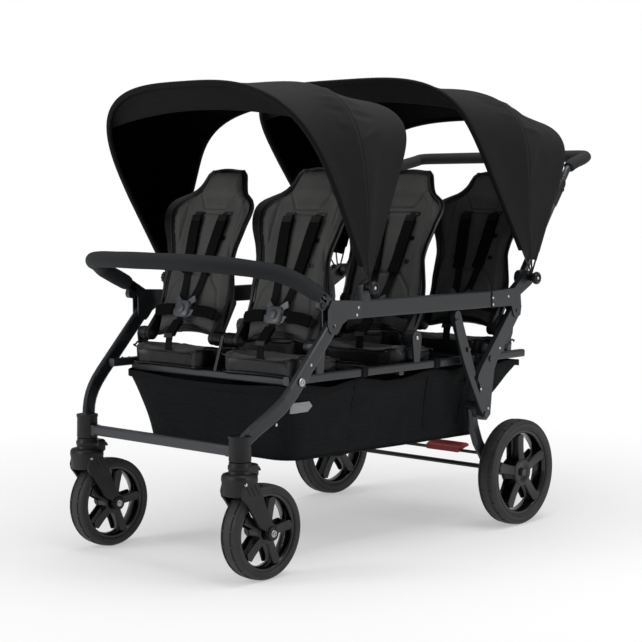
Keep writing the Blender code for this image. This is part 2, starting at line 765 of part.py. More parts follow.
def upper_rails(frame_body):
    """Side rails of the upper frame, with joint cheeks at both ends, canopy clips and the handle's bracket."""
    z = (UPPER_LOW + UPPER_TOP) / 2
    low, high = UPPER_LOW, UPPER_TOP
    a, b = P2, P3
    lobe = CHEEK_R
    front = [
        (a.y - lobe, a.z - lobe * 0.4), (a.y - lobe * 1.05, high - 0.016), (a.y - lobe * 0.5, high + 0.004),
        (a.y + 0.040, high + 0.002), (UPPER_FRONT + 0.040, high - 0.001), (UPPER_FRONT + 0.040, low + 0.001),
        (a.y + 0.050, low + 0.001), (a.y + 0.030, a.z + 0.004), (a.y + lobe * 0.8, a.z - lobe * 0.6),
        (a.y + lobe * 0.3, a.z - lobe), (a.y - lobe * 0.5, a.z - lobe * 0.9),
    ]
    rear = [
        (UPPER_REAR - 0.060, low + 0.001), (UPPER_REAR - 0.060, high - 0.001), (b.y - 0.004, high + 0.004),
        (b.y + lobe * 0.7, high), (b.y + lobe, b.z + 0.010), (b.y + lobe * 0.8, b.z - lobe * 0.6),
        (b.y, b.z - lobe), (b.y - lobe * 0.7, b.z - lobe * 0.7), (b.y - lobe * 1.3, low + 0.001),
    ]
    for name, s in SIDES:
        rail = sweep(f"upper_rail_{name}", [(s * LEG_X, UPPER_FRONT, z), (s * LEG_X, UPPER_REAR, z)],
                     rounded_rect(UPPER_W, UPPER_H, 0.004), look=frame_paint())
        shapes = []
        for k, outline in enumerate((front, rear)):
            for m, t in enumerate((-1, 1)):
                x0, x1 = sorted((LEG_X + t * CHEEK_IN, LEG_X + t * (CHEEK_IN + CHEEK_T)))
                shapes.append(prism(f"cheek_{name}_{k}{m}", outline, *span(s, x0, x1)))
        for k, pivot in enumerate((P2, P3)):
            reach = CHEEK_IN + CHEEK_T + 0.002
            shapes.append(disc(f"joint_pin_{name}_{k}", pivot.y, pivot.z, PIN_R, *span(s, LEG_X - reach + 0.002, LEG_X + reach),
                               SMALL))
        wide = UPPER_W / 2 - 0.0002
        clip = link_outline((CANOPY_Y, high - 0.012, 0.016), (CANOPY_Y, CANOPY_Z, 0.013))
        shapes.append(prism(f"canopy_clip_{name}", clip, *span(s, LEG_X - wide, LEG_X + wide)))
        arm = link_outline((UPPER_REAR - 0.020, high - 0.018, 0.015), (b.y - 0.010, high - 0.014, 0.016))
        shapes.append(prism(f"handle_arm_{name}", arm, *span(s, LEG_X - wide, LEG_X + wide)))
        arm = link_outline((b.y - 0.010, high - 0.014, 0.016), (HANDLE_HUB_Y, HANDLE_HUB_Z, HANDLE_EYE_R))
        shapes.append(prism(f"handle_bracket_{name}", arm, *span(s, LEG_X - wide, LEG_X + wide)))
        eyes_end = EYE_X + 3 * (EYE_T + GAP)
        for k, hub in enumerate((CANOPY_HUB, HANDLE_HUB)):
            shapes.append(disc(f"canopy_pin_{name}_{k}", hub.y, hub.z, CANOPY_PIN_R, *span(s, LEG_X, eyes_end + 0.001), SMALL))
            shapes.append(disc(f"canopy_cap_{name}_{k}", hub.y, hub.z, 0.008, *span(s, eyes_end, eyes_end + 0.003), SMALL))
        shapes.append(disc(f"handle_pin_{name}", HANDLE_HUB_Y, HANDLE_HUB_Z, 0.007,
                           *span(s, HANDLE_X - SLEEVE_R - 0.002, LEG_X), SMALL))
        combine(rail, shapes)
        settle(rail, P2, frame_body)


def rear_legs(rear_body):
    """Flat plates from the upper joint past the rail down to the wheel frame."""
    top, low, foot = P3, P4, STRUT_FOOT
    r = LEG_D / 2 + 0.001
    outline = [(top.y + r * math.cos(math.radians(t)), top.z + r * math.sin(math.radians(t))) for t in range(-40, 151, 19)]
    outline += [
        (low.y - 0.023, low.z), (low.y - 0.040, low.z - 0.018), (foot.y - 0.026, foot.z + 0.114),
        (foot.y - 0.030, foot.z + 0.100), (foot.y - 0.020, foot.z + 0.086), (foot.y - 0.016, foot.z - 0.004),
        (foot.y - 0.006, foot.z - 0.016), (foot.y + 0.012, foot.z - 0.018), (foot.y + 0.030, foot.z - 0.004),
        (foot.y + 0.036, foot.z + 0.050), (low.y + 0.018, low.z - 0.030), (low.y + 0.036, low.z),
    ]
    for name, s in SIDES:
        x0, x1 = span(s, LEG_X - LEG_T / 2, LEG_X + LEG_T / 2)
        leg = prism(f"rear_leg_{name}", outline, x0, x1, frame_paint())
        hole = bore(PIN_R, SMALL)
        blade_in = LEG_T / 2 + GAP
        combine(leg, [
            disc(f"strut_pin_{name}", foot.y, foot.z, PIN_R, *span(s, LEG_X, LEG_X + blade_in + BLADE_T + 2 * GAP), SMALL),
            disc(f"strut_head_{name}", foot.y, foot.z, PIN_HEAD_R,
                 *span(s, LEG_X + blade_in + BLADE_T + GAP, LEG_X + blade_in + BLADE_T + GAP + PIN_HEAD_T), SMALL),
        ])
        cut(leg, [disc(f"rear_bore_{name}_{k}", p.y, p.z, hole, x0 - 0.02, x1 + 0.02, SMALL) for k, p in
                  enumerate((top, low))])
        settle(leg, P4, rear_body)


def struts(strut_body):
    """Lock struts: a curved flat blade on the leg's foot, riveted to a wider link that ends under the upper rail."""
    inner = LEG_T / 2 + GAP
    tops, foot = STRUT_TOP, STRUT_FOOT
    drop = tops - foot
    a = Vector((0, tops.y - 0.007, tops.z - 0.012))
    path = bezier(a, a + Vector((0, 0.022, -0.092)), foot + Vector((0, -0.058, 0.092)), foot, 10)
    for name, s in SIDES:
        mid = s * (LEG_X + inner + BLADE_T / 2)
        blade = sweep(f"rear_strut_{name}", [p + Vector((mid, 0, 0)) for p in path],
                      rounded_rect(BLADE_T, BLADE_W, 0.001, 2), look=frame_paint())
        low = foot + drop * 0.42 + Vector((0, -0.004, 0))
        link = link_outline((tops.y, tops.z, STRUT_R), (low.y, low.z, STRUT_R - 0.001))
        out = span(s, LEG_X + inner, LEG_X + inner + BLADE_T)
        combine(blade, [
            prism(f"strut_link_{name}", link, *span(s, LEG_X - LEG_T / 2, LEG_X + inner + 0.0015)),
            disc(f"strut_eye_{name}", foot.y, foot.z, BLADE_W / 2 + 0.002, *out, SMALL),
            disc(f"strut_catch_{name}", foot.y + drop.y * 0.66, foot.z + drop.z * 0.66, 0.0065,
                 *span(s, LEG_X + inner, LEG_X + inner + BLADE_T + 0.004), SMALL),
        ])
        cut(blade, [disc(f"strut_bore_{name}", foot.y, foot.z, bore(PIN_R, SMALL), *span(s, LEG_X, LEG_X + 0.03), SMALL)])
        settle(blade, STRUT_FOOT, strut_body)


def rear_frame(rear_body):
    """Wheel legs, axle bar and brake tabs, welded into one frame under the rear legs."""
    foot = STRUT_FOOT
    axle = Vector((0, HALF_BASE, REAR_R))
    bar = disc("rear_axle_frame", axle.y, axle.z, AXLE_BAR_R, -WHEEL_LEG_X, WHEEL_LEG_X, SMALL, frame_paint())
    shapes = []
    leg_in = LEG_X - LEG_T / 2 - GAP
    brake_y, brake_z = axle.y + BRAKE_BACK, axle.z + BRAKE_RISE
    for name, s in SIDES:
        x = s * WHEEL_LEG_X
        top = Vector((x, foot.y + 0.008, foot.z + 0.012))
        bend = bezier(top, Vector((x, foot.y + 0.015, foot.z - 0.068)), Vector((x, axle.y - 0.094, axle.z + 0.012)),
                      Vector((x, axle.y, axle.z)), 5)
        shapes.append(sweep(f"wheel_leg_{name}", bend, rounded_rect(WHEEL_LEG_W, WHEEL_LEG_D, 0.007, 2)))
        shapes.append(disc(f"axle_boss_{name}", axle.y, axle.z, 0.016, *span(s, WHEEL_LEG_X - 0.012, REAR_WHEEL_X - REAR_W / 2 - 0.003),
                           SMALL))
        seat = link_outline((top.y - 0.004, top.z + 0.008, 0.014), (top.y + 0.008, top.z - 0.012, 0.014))
        shapes.append(prism(f"leg_block_{name}", seat, *span(s, WHEEL_LEG_X - WHEEL_LEG_W / 2 + 0.001, leg_in)))
        end = REAR_WHEEL_X + REAR_W / 2
        shapes.append(disc(f"stub_{name}", axle.y, axle.z, AXLE_R, *span(s, WHEEL_LEG_X, end - 0.001), SMALL))
        shapes.append(disc(f"stub_cap_{name}", axle.y, axle.z, 0.010, *span(s, end - 0.0035, end + 0.0005), SMALL))
        tab = link_outline((axle.y, axle.z, 0.010), (brake_y, brake_z, 0.010))
        shapes.append(prism(f"brake_tab_{name}", tab, *span(s, BRAKE_SPAN - 0.006, BRAKE_SPAN)))
    combine(bar, shapes)
    cut(bar, [disc("brake_bore", brake_y, brake_z, bore(BRAKE_BAR_R, SMALL), -BRAKE_SPAN - 0.01, BRAKE_SPAN + 0.01, SMALL)])
    settle(bar, P4, rear_body)
    lever = disc("brake_lever", brake_y, brake_z, BRAKE_BAR_R, -BRAKE_SPAN - 0.004, BRAKE_SPAN + 0.004, SMALL,
                 material("brake_red", (0.45, 0.004, 0.006), 0.4))
    pedal = [(brake_y - 0.004, brake_z - 0.006), (brake_y + PEDAL_D, brake_z + 0.006),
             (brake_y + PEDAL_D, brake_z + 0.006 + PEDAL_T), (brake_y - 0.002, brake_z + PEDAL_T)]
    combine(lever, [prism("pedal", pedal, PEDAL_X - PEDAL_L / 2, PEDAL_X + PEDAL_L / 2)])
    brake = body("brake", (0, brake_y, brake_z))
    settle(lever, (0, brake_y, brake_z), brake)
    for name, s in SIDES:
        centre = Vector((s * REAR_WHEEL_X, axle.y, axle.z))
        spin = body(f"rear_wheel_{name}", centre)
        wheel(f"rear_{name}", centre, REAR_R, REAR_W, REAR_RIM_R, REAR_HUB_R, spin, 24)


def bumper(bumper_body):
    """Foam-covered bar across the front, its arms plugged between the cheeks with a release button on each."""
    rise = Vector((0, -math.cos(math.radians(29.5)), math.sin(math.radians(29.5))))
    root = Vector((LEG_X, P2.y + 0.027, P2.z + 0.040))
    side = [root, root + rise * 0.089]
    corner = [(LEG_X - 0.004, -0.445, BUMPER_Z - 0.043), (LEG_X - 0.039, -0.499, BUMPER_Z - 0.022),
              (LEG_X - 0.138, -BUMPER_REACH + 0.046, BUMPER_Z - 0.005)]
    half = side + [Vector(p) for p in corner]
    points = half + [Vector((0, -BUMPER_REACH, BUMPER_Z))] + [p * Vector((-1, 1, 1)) for p in half[::-1]]
    path = smooth_path(points, 2)
    bar = sweep("bumper_bar", path, circle(BUMPER_R, SMALL), (0, 0, 1), frame_paint(), True)
    foam = sleeve("bumper_foam", path, circle(BUMPER_FOAM_R, SMALL), circle(BUMPER_R + SNUG, SMALL), (0, 0, 1),
                  material("bumper_foam", (0.030, 0.031, 0.033), 0.9), 2)
    shapes, bores = [], []
    place = root + rise * 0.072
    knob = place + Vector((0, -0.004, -0.021))
    skin = LEG_T / 2 - 0.0006
    for name, s in SIDES:
        outline = link_outline((place.y, place.z - 0.002, 0.009), (knob.y, knob.z, BUTTON_R + 0.003))
        shapes.append(prism(f"button_housing_{name}", outline, *span(s, LEG_X - skin, LEG_X + skin)))
        floor = LEG_X + skin - 0.007
        bores.append(disc(f"button_bore_{name}", knob.y, knob.z, BUTTON_R + SNUG, *span(s, floor, LEG_X + 0.02), SMALL))
        low = floor + BUTTON_TRAVEL + GAP
        button = disc(f"release_button_{name}", knob.y, knob.z, BUTTON_R, *span(s, low, low + BUTTON_L), SMALL,
                      black_plastic())
        settle(button, (s * low, knob.y, knob.z), body(f"button_{name}", (s * low, knob.y, knob.z)))
    cut(combine(bar, shapes), bores)
    settle(bar, root, bumper_body)
    settle(foam, root, bumper_body)


def push_handle(hinge_body, slide_body):
    """Two hinged sleeves with a U tube that telescopes in them, and a foam grip round its bend."""
    lean = math.radians(HANDLE_LEAN)
    up = Vector((0, math.sin(lean), math.cos(lean)))
    for name, s in SIDES:
        hub = Vector((s * HANDLE_X, HANDLE_HUB_Y, HANDLE_HUB_Z))
        tube = rod(f"handle_sleeve_{name}", hub, hub + up * SLEEVE_L, SLEEVE_R, SMALL, frame_paint())
        wide = SLEEVE_R - 0.001
        combine(tube, [
            disc(f"handle_eye_{name}", hub.y, hub.z, HANDLE_EYE_R, hub.x - wide, hub.x + wide),
            rod(f"handle_collar_{name}", hub + up * (SLEEVE_L - 0.042), hub + up * (SLEEVE_L + 0.0005), SLEEVE_R + 0.002, SMALL),
        ])
        cut(tube, [
            disc(f"handle_bore_{name}", hub.y, hub.z, bore(0.007, SMALL), hub.x - 0.03, hub.x + 0.03, SMALL),
            rod(f"sleeve_bore_{name}", hub + up * (SLEEVE_L - HANDLE_INSERT - 0.036), hub + up * (SLEEVE_L + 0.01),
                bore(HANDLE_R, ROUND), ROUND),
        ])
        settle(tube, HANDLE_HUB, hinge_body)
    base = Vector((HANDLE_X, HANDLE_HUB_Y, HANDLE_HUB_Z))
    start = base + up * (SLEEVE_L - HANDLE_INSERT)
    knee = base + up * HANDLE_BEND
    back = Vector((0, HANDLE_BACK_Y, HANDLE_TOP_Z))
    bend = bezier(knee, knee + up * 0.040, Vector((HANDLE_X, back.y - 0.050, back.z - 0.018)),
                  Vector((HANDLE_X - 0.012, back.y - 0.008, back.z - 0.003)), 4)
    turn = bezier(bend[-1], bend[-1] + Vector((-0.008, 0.008, 0.003)), Vector((HANDLE_X - 0.050, back.y, back.z)),
                  Vector((HANDLE_X - 0.080, back.y, back.z)), 3)
    half = [start] + bend + turn[1:]
    path = half + [p * Vector((-1, 1, 1)) for p in half[::-1]]
    bar = sweep("handle_bar", path, circle(HANDLE_R, SMALL), (0, -math.cos(lean), math.sin(lean)), frame_paint(), True)
    grip = sleeve("handle_grip", path, circle(GRIP_R, SMALL), circle(bore(HANDLE_R, SMALL, RUN + GAP), SMALL),
                  (0, -math.cos(lean), math.sin(lean)), material("grip_foam", (0.016, 0.016, 0.017), 0.9), 1)
    settle(bar, HANDLE_HUB, slide_body)
    settle(grip, HANDLE_HUB, slide_body)


def bow_curve(spread, height, shoulder, square, eye_x, count=7):
    """Half of a bow in its own plane, as (x, height), from the eye up over the shoulder to the middle."""
    points = [(eye_x, EYE_R * 0.5)]
    points += [(eye_x + (spread - eye_x) * t, shoulder * t) for t in (0.16, 0.6)]
    for i in range(count + 1):
        a = math.pi / 2 * i / count
        x = spread * math.cos(a) ** (2 / square)
        points.append((max(x, 0.0), shoulder + (height - shoulder) * math.sin(a) ** (2 / square)))
    return points


def in_plane(hub, tilt, x, h):
    t = math.radians(tilt)
    return Vector((x, hub.y - h * math.sin(t), hub.z + h * math.cos(t)))


def canopy(name, hub, bows, bodies):
    """Three wire bows on one pin each side, and two cloth panels stretched over them."""
    curves = []
    for k, (tilt, height, shoulder, square) in enumerate(bows):
        place = 2 - k
        eye_x = EYE_X + EYE_T / 2 + place * (EYE_T + GAP)
        curve = bow_curve(BOW_SPREAD[k], height, shoulder, square, eye_x)
        half = [in_plane(hub, tilt, x, h) for x, h in curve]
        path = half + [p * Vector((-1, 1, 1)) for p in half[-2::-1]]
        plane = Vector((0, math.cos(math.radians(tilt)), math.sin(math.radians(tilt))))
        label = ("front", "middle", "rear")[k]
        bow = sweep(f"{name}_{label}_bow", path, circle(BOW_R, 6), plane, material("bow_steel", (0.02, 0.02, 0.022), 0.4, 0.7))
        eyes = [disc(f"{name}_{label}_eye_{side}", hub.y, hub.z, EYE_R, *span(s, eye_x - EYE_T / 2, eye_x + EYE_T / 2), SMALL)
                for side, s in SIDES]
        bores = [disc(f"{name}_{label}_eye_bore_{side}", hub.y, hub.z, bore(CANOPY_PIN_R, SMALL), *span(s, eye_x - 0.01, eye_x + 0.01), SMALL)
                 for side, s in SIDES]
        cut(combine(bow, eyes), bores)
        settle(bow, hub, bodies[k])
        curves.append((path, plane))
    for k, label in enumerate(("front", "rear")):
        settle(cloth_panel(f"{name}_{label}_panel", curves[k], curves[k + 1], k), hub, bodies[k + 1 if k else 0])


def cloth_panel(name, first, second, k):
    """Cloth between two bows, lying just outside them, with the shallow dip that it takes half way."""
    lay = BOW_R + 2 * GAP
    steps = 3
    pa, pb = first[0], second[0]
    middle = (pa[0] + pa[-1]) / 2
    rows_out, rows_in = [], []
    for i in range(1, len(pa) - 1):
        across = pb[i] - pa[i]
        trim = PANEL_TRIM / across.length
        low, high = (0, 1 - trim) if k == 0 else (trim, 1)
        out_row, in_row = [], []
        for j in range(steps + 1):
            t = low + (high - low) * j / steps
            along = (pa[i + 1] - pa[i - 1]) * (1 - t) + (pb[i + 1] - pb[i - 1]) * t
            n = along.cross(across).normalized()
            place = pa[i] + across * t
            if n.dot(place - middle) < 0:
                n = -n
            dip = CLOTH_DIP * across.length * math.sin(math.pi * j / steps)
            in_row.append(place + n * (lay - dip))
            out_row.append(place + n * (lay - dip + CLOTH_T))
        rows_out.append(out_row)
        rows_in.append(in_row)
    return padded(name, rows_out, rows_in, black_cloth())


def build():
    clear_scene()
    leg_body = body("front_legs", P1)
    upper_body = body("upper_frame", P2)
    rear_body = body("rear_legs", P4)
    strut_body = body("struts", STRUT_FOOT)
    front_legs(leg_body)
    casters(leg_body)
    lower_rails()
    cross_rails()
    seat_hubs()
    basket()
    upper_rails(upper_body)
    rear_legs(rear_body)
    struts(strut_body)
    rear_frame(rear_body)
    bumper(body("bumper", P2))
    push_handle(body("handle_hinge", HANDLE_HUB), body("handle_slide", HANDLE_HUB))
    for name, hub, bows in (("front_canopy", CANOPY_HUB, FRONT_BOWS), ("rear_canopy", HANDLE_HUB, REAR_BOWS)):
        bodies = [body(f"{name}_{part}", hub) for part in ("front", "middle", "rear")]
        canopy(name, hub, bows, bodies)
    for obj in bpy.data.objects:
        if not obj.parent:
            obj.location.y -= ORIGIN_Y


build()
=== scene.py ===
import math

import bmesh
import bpy
import numpy as np
from mathutils import Matrix, Vector, noise


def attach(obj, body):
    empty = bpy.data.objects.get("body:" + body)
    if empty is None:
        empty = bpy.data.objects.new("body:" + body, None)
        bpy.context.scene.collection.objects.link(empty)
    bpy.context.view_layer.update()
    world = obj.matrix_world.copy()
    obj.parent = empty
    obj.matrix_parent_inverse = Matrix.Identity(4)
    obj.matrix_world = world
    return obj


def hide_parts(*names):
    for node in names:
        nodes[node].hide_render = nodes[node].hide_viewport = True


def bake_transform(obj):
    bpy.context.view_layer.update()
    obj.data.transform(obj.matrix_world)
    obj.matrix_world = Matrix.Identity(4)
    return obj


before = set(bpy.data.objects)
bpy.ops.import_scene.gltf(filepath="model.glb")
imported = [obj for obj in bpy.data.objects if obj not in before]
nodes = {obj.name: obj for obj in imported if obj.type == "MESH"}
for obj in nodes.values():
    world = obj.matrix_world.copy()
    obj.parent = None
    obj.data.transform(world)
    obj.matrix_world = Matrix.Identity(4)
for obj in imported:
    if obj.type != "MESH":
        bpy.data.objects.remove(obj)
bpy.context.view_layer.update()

# The room: a photographer's sweep of pale paper, lit by three soft boxes and the white walls round it, in
# metres. The stroller's own sizes are millimetres from the floor half way between its axles: MM turns them
# into metres, and its middle lies MIDDLE behind that point.
MM = 0.001
MIDDLE = 130.5
WHITE = (1, 1, 1, 1)


def srgb(code):
    """A hex colour as linear light."""
    parts = [int(code[i : i + 2], 16) / 255 for i in (1, 3, 5)]
    return [*(c / 12.92 if c <= 0.04045 else ((c + 0.055) / 1.055) ** 2.4 for c in parts), 1.0]


def feed(tree, made, *order, **named):
    """Fills a node's inputs, in their order or by Name, from numbers, sockets or whole nodes."""
    for key, value in [*enumerate(order), *((key.replace("_", " "), value) for key, value in named.items())]:
        if isinstance(value, bpy.types.Node):
            value = value.outputs[0]
        if isinstance(value, bpy.types.NodeSocket):
            tree.links.new(value, made.inputs[key])
        else:
            made.inputs[key].default_value = value
    return made


def node(tree, kind, *order, **named):
    """Adds one node: names in small letters are its settings, the others its inputs."""
    made = tree.nodes.new("ShaderNode" + kind)
    for key in [key for key in named if key.islower()]:
        setattr(made, key, named.pop(key))
    return feed(tree, made, *order, **named)


def new_material(name):
    """A new material with its tree, its shader and the place of each point on the object."""
    made = bpy.data.materials.new(name)
    made.use_nodes = True
    tree = made.node_tree
    return made, tree, tree.nodes["Principled BSDF"], node(tree, "TexCoord").outputs["Object"]


def added(name, data):
    """Puts a new object in the scene."""
    made = bpy.data.objects.new(name, data)
    bpy.context.scene.collection.objects.link(made)
    return made


# The camera's place and directions, as fitted to the photograph.
camera = bpy.data.cameras.new("studio_camera")
camera.sensor_width = 36
camera.lens = 88.758
camera.clip_end = 60
camera_object = added("studio_camera", camera)
right = Vector((0.74024, 0.67234, 0.00153))
up = Vector((-0.05315, 0.05625, 0.997))
ahead = Vector((-0.67024, 0.7381, -0.07737))
turn = Matrix((right, up, -ahead)).transposed().to_4x4()
camera_object.matrix_world = Matrix.Translation((3.0043, -3.2633 - MIDDLE * MM, 0.9443)) @ turn
bpy.context.scene.camera = camera_object

paper, tree, shader, place = new_material("pale_paper_sweep")
feed(tree, shader, Base_Color=srgb("#f4f4f4"), Roughness=0.9)
spread = node(tree, "VectorMath", place, operation="LENGTH").outputs["Value"]
fade = node(tree, "MapRange", spread, 0.5, 2.3, 0.4, 1.0, interpolation_type="SMOOTHSTEP")
rays = node(tree, "LightPath").outputs
bounced = node(tree, "Math", rays["Is Glossy Ray"], rays["Is Transmission Ray"], operation="MAXIMUM")
either = node(tree, "Math", rays["Is Camera Ray"], bounced, operation="MAXIMUM")
share = node(tree, "Math", fade, either, operation="MULTIPLY")
glow = node(tree, "Emission", Color=WHITE, Strength=1.0)
feed(tree, tree.nodes["Material Output"], node(tree, "MixShader", share, shader, glow))
floor_mesh = bpy.data.meshes.new("paper_floor")
floor_mesh.from_pydata([(-14, -14, 0), (14, -14, 0), (14, 14, 0), (-14, 14, 0)], [], [(0, 1, 2, 3)])
floor_mesh.materials.append(paper)
added("paper_floor", floor_mesh)

room = bpy.data.worlds.new("white_room")
room.use_nodes = True
tree = room.node_tree
lit = feed(tree, tree.nodes["Background"], Color=WHITE, Strength=0.36)
seen = node(tree, "Background", Color=WHITE, Strength=1.0)
rays = node(tree, "LightPath").outputs
either = node(tree, "Math", rays["Is Camera Ray"], rays["Is Transmission Ray"], operation="MAXIMUM")
feed(tree, tree.nodes["World Output"], node(tree, "MixShader", either, lit, seen))
bpy.context.scene.world = room

for name, stand, aim, size, power in (
        ("overhead_box", (0.3, 0.0, 3.2), (0, 0, 0.6), (2.2, 2.6), 74),
        ("front_box", (-1.4, -3.4, 1.7), (0, 0, 0.6), (1.2, 2.4), 46),
        ("side_box", (3.4, 0.9, 1.6), (0, 0.1, 0.6), (1.2, 2.4), 36)):
    lamp = bpy.data.lights.new(name, "AREA")
    lamp.shape = "RECTANGLE"
    lamp.size, lamp.size_y = size
    lamp.energy = power
    box = added(name, lamp)
    box.location = stand
    box.rotation_euler = (Vector(aim) - Vector(stand)).to_track_quat("-Z", "Y").to_euler()
bpy.context.scene.view_settings.view_transform = "Standard"

# The frame's metal: drawn and pressed steel and aluminium under one dark grey powder coat, riveted together.
# Powder coat is smooth to the hand but has an orange peel of about a millimetre, and it wears pale on edges.
FRAME_GREY = srgb("#1f2226")
FRAME_WORN = srgb("#3d4248")
STEEL, tree, shader, place = new_material("powder_coated_steel")
peel = node(tree, "TexNoise", Vector=place, Scale=700.0, Detail=2.0)
cloud = node(tree, "TexNoise", Vector=place, Scale=9.0, Detail=4.0)
worn = node(tree, "MapRange", node(tree, "NewGeometry").outputs["Pointiness"], 0.52, 0.62, 0.0, 0.35)
feed(tree, shader, Base_Color=node(tree, "MixRGB", worn, FRAME_GREY, FRAME_WORN),
     Roughness=node(tree, "MapRange", cloud, 0.3, 0.7, 0.32, 0.46),
     Normal=node(tree, "Bump", Strength=0.06, Distance=0.0004, Height=peel),
     Metallic=0.35, Coat_Weight=0.25, Coat_Roughness=0.22)
SIDES = (("left", 1), ("right", -1))
ALONG_X = Vector((1, 0, 0))
UP = Vector((0, 0, 1))
MIRROR = Vector((-1, 1, 1))
AXIS = 0.1  # how near its axis a turned end comes


def refinish(name, material):
    """Gives a CAD node its real finish."""
    kept = nodes[name]
    kept.data.materials.clear()
    kept.data.materials.append(material)
    return kept


def from_mesh(name, bm, angle=38):
    """An object of a built mesh, smooth except along edges sharper than angle."""
    bmesh.ops.recalc_face_normals(bm, faces=bm.faces)
    mesh = bpy.data.meshes.new(name)
    bm.to_mesh(mesh)
    bm.free()
    mesh.shade_smooth()
    mesh.set_sharp_from_angle(angle=math.radians(angle))
    return added(name, mesh)


def piece(name, bm, body, slot, material, *stands_for, angle=38):
    """Makes a piece of a mesh, moves it to the stroller's own frame and fixes it to its body."""
    made = from_mesh(name, bm, angle)
    made.data.transform(Matrix.Translation((0, -MIDDLE * MM, 0)))
    made.data.materials.append(material)
    if stands_for:
        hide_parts(*stands_for)
    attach(made, body)
    return made


def spots(bm, rows):
    """Rows of points in millimetres, as the mesh's own points in metres."""
    return [[bm.verts.new([c * MM for c in p]) for p in row] for row in rows]


def ring_rows(bm, rings, loop=False, ends=(0, -1)):
    """Joins rings of points, each of the same count, into a skin, and closes the ends named."""
    rows = spots(bm, rings)
    for low, high in zip(rows, rows[1:] + rows[:1] if loop else rows[1:]):
        for i in range(len(low)):
            j = (i + 1) % len(low)
            bm.faces.new((low[i], low[j], high[j], high[i]))
    if 0 in ends and not loop:
        bm.faces.new(rows[0][::-1])
    if -1 in ends and not loop:
        bm.faces.new(rows[-1])


def circle(radius, count):
    turns = [math.tau * i / count for i in range(count)]
    return [(radius * math.cos(a), radius * math.sin(a)) for a in turns]


def rounded_rect(width, height, radius, count=5):
    """A section's outline, with count points round each corner."""
    points = []
    for k, (sx, sy) in enumerate(((1, 1), (-1, 1), (-1, -1), (1, -1))):
        for i in range(count):
            a = math.pi / 2 * (k + i / (count - 1))
            points.append((sx * (width / 2 - radius) + radius * math.cos(a),
                           sy * (height / 2 - radius) + radius * math.sin(a)))
    return points


def around(p, side, other, section):
    """A section's points, laid out from p along two directions."""
    return [p + side * a + other * b for a, b in section]


def frames(path, ref):
    """Point, side and normal along a path, carried without twist from its middle."""
    path = [Vector(p) for p in path]
    last = len(path) - 1
    tangents = [(path[min(i + 1, last)] - path[max(i - 1, 0)]).normalized() for i in range(len(path))]
    middle = len(path) // 2
    ref = Vector(ref)
    side = (ref - ref.dot(tangents[middle]) * tangents[middle]).normalized()
    made = [None] * len(path)
    made[middle] = (path[middle], side, tangents[middle].cross(side))
    for order in (range(middle + 1, len(path)), range(middle - 1, -1, -1)):
        s = side
        for i in order:
            t = tangents[i]
            s = (s - s.dot(t) * t).normalized()
            made[i] = (path[i], s, t.cross(s))
    return made


def swept(bm, path, section, ref=ALONG_X):
    """A bar of one section along a path, its side turned towards ref."""
    ring_rows(bm, [around(*spot, section) for spot in frames(path, ref)])


def bezier(p0, p1, p2, p3, count):
    points = []
    for i in range(count + 1):
        t = i / count
        s = 1 - t
        points.append(Vector(p0) * s**3 + Vector(p1) * 3 * s * s * t + Vector(p2) * 3 * s * t * t
                      + Vector(p3) * t**3)
    return points


def through(points, steps):
    """A smooth curve through the points."""
    pts = [Vector(p) for p in points]
    pts = [2 * pts[0] - pts[1]] + pts + [2 * pts[-1] - pts[-2]]
    path = []
    for i in range(1, len(pts) - 2):
        a, b, c, d = pts[i - 1 : i + 3]
        for k in range(steps):
            t = k / steps
            path.append(0.5 * (2 * b + (c - a) * t + (2 * a - 5 * b + 4 * c - d) * t * t
                               + (3 * b - a - 3 * c + d) * t**3))
    path.append(pts[-2])
    return path


def mirrored(points):
    """The same run of points on the other side, the other way along."""
    return [p * MIRROR for p in points[::-1]]


def turned(bm, centre, axis, steps, count=32, to_axis=True, loop=False):
    """A lathe-turned shape about an axis through centre, from (distance along, radius) steps."""
    if to_axis:
        steps = [(steps[0][0], AXIS), *steps]
        if steps[-1][1] > AXIS:
            steps.append((steps[-1][0], AXIS))
    axis = Vector(axis).normalized()
    side = axis.orthogonal().normalized()
    other = axis.cross(side)
    ring_rows(bm, [around(Vector(centre) + axis * d, side, other, circle(r, count)) for d, r in steps], loop)


def plate(bm, outline, x0, x1):
    """A flat plate from a side view outline of (y, z) points, between two x values."""
    ring_rows(bm, [[(x, y, z) for y, z in outline] for x in (x0, x1)])


def round_link(*ends, count=28):
    """The outline of a strap round circles of (y, z, radius)."""
    points = sorted({(round(y + a, 4), round(z + b, 4)) for y, z, r in ends for a, b in circle(r, count)})

    def half(run):
        out = []
        for p in run:
            while len(out) > 1 and ((out[-1][0] - out[-2][0]) * (p[1] - out[-2][1])
                                    - (out[-1][1] - out[-2][1]) * (p[0] - out[-2][0])) <= 1e-6:
                out.pop()
            out.append(p)
        return out[:-1]

    return half(points) + half(points[::-1])


def softened(made, width, segments=2, angle=30):
    """Rounds the pressed edges of a piece."""
    step = made.modifiers.new("pressed_edges", "BEVEL")
    step.width = width * MM
    step.segments = segments
    step.limit_method = "ANGLE"
    step.angle_limit = math.radians(angle)


for name in ("lower_rail_left", "lower_rail_right", "cross_rail_front", "cross_rail_middle",
             "cross_rail_rear", "upper_rail_left", "upper_rail_right", "rear_leg_left", "rear_leg_right",
             "rear_strut_left", "rear_strut_right", "front_leg_left", "front_leg_right", "front_crossbar"):
    softened(refinish(name, STEEL), 1.5, 3)
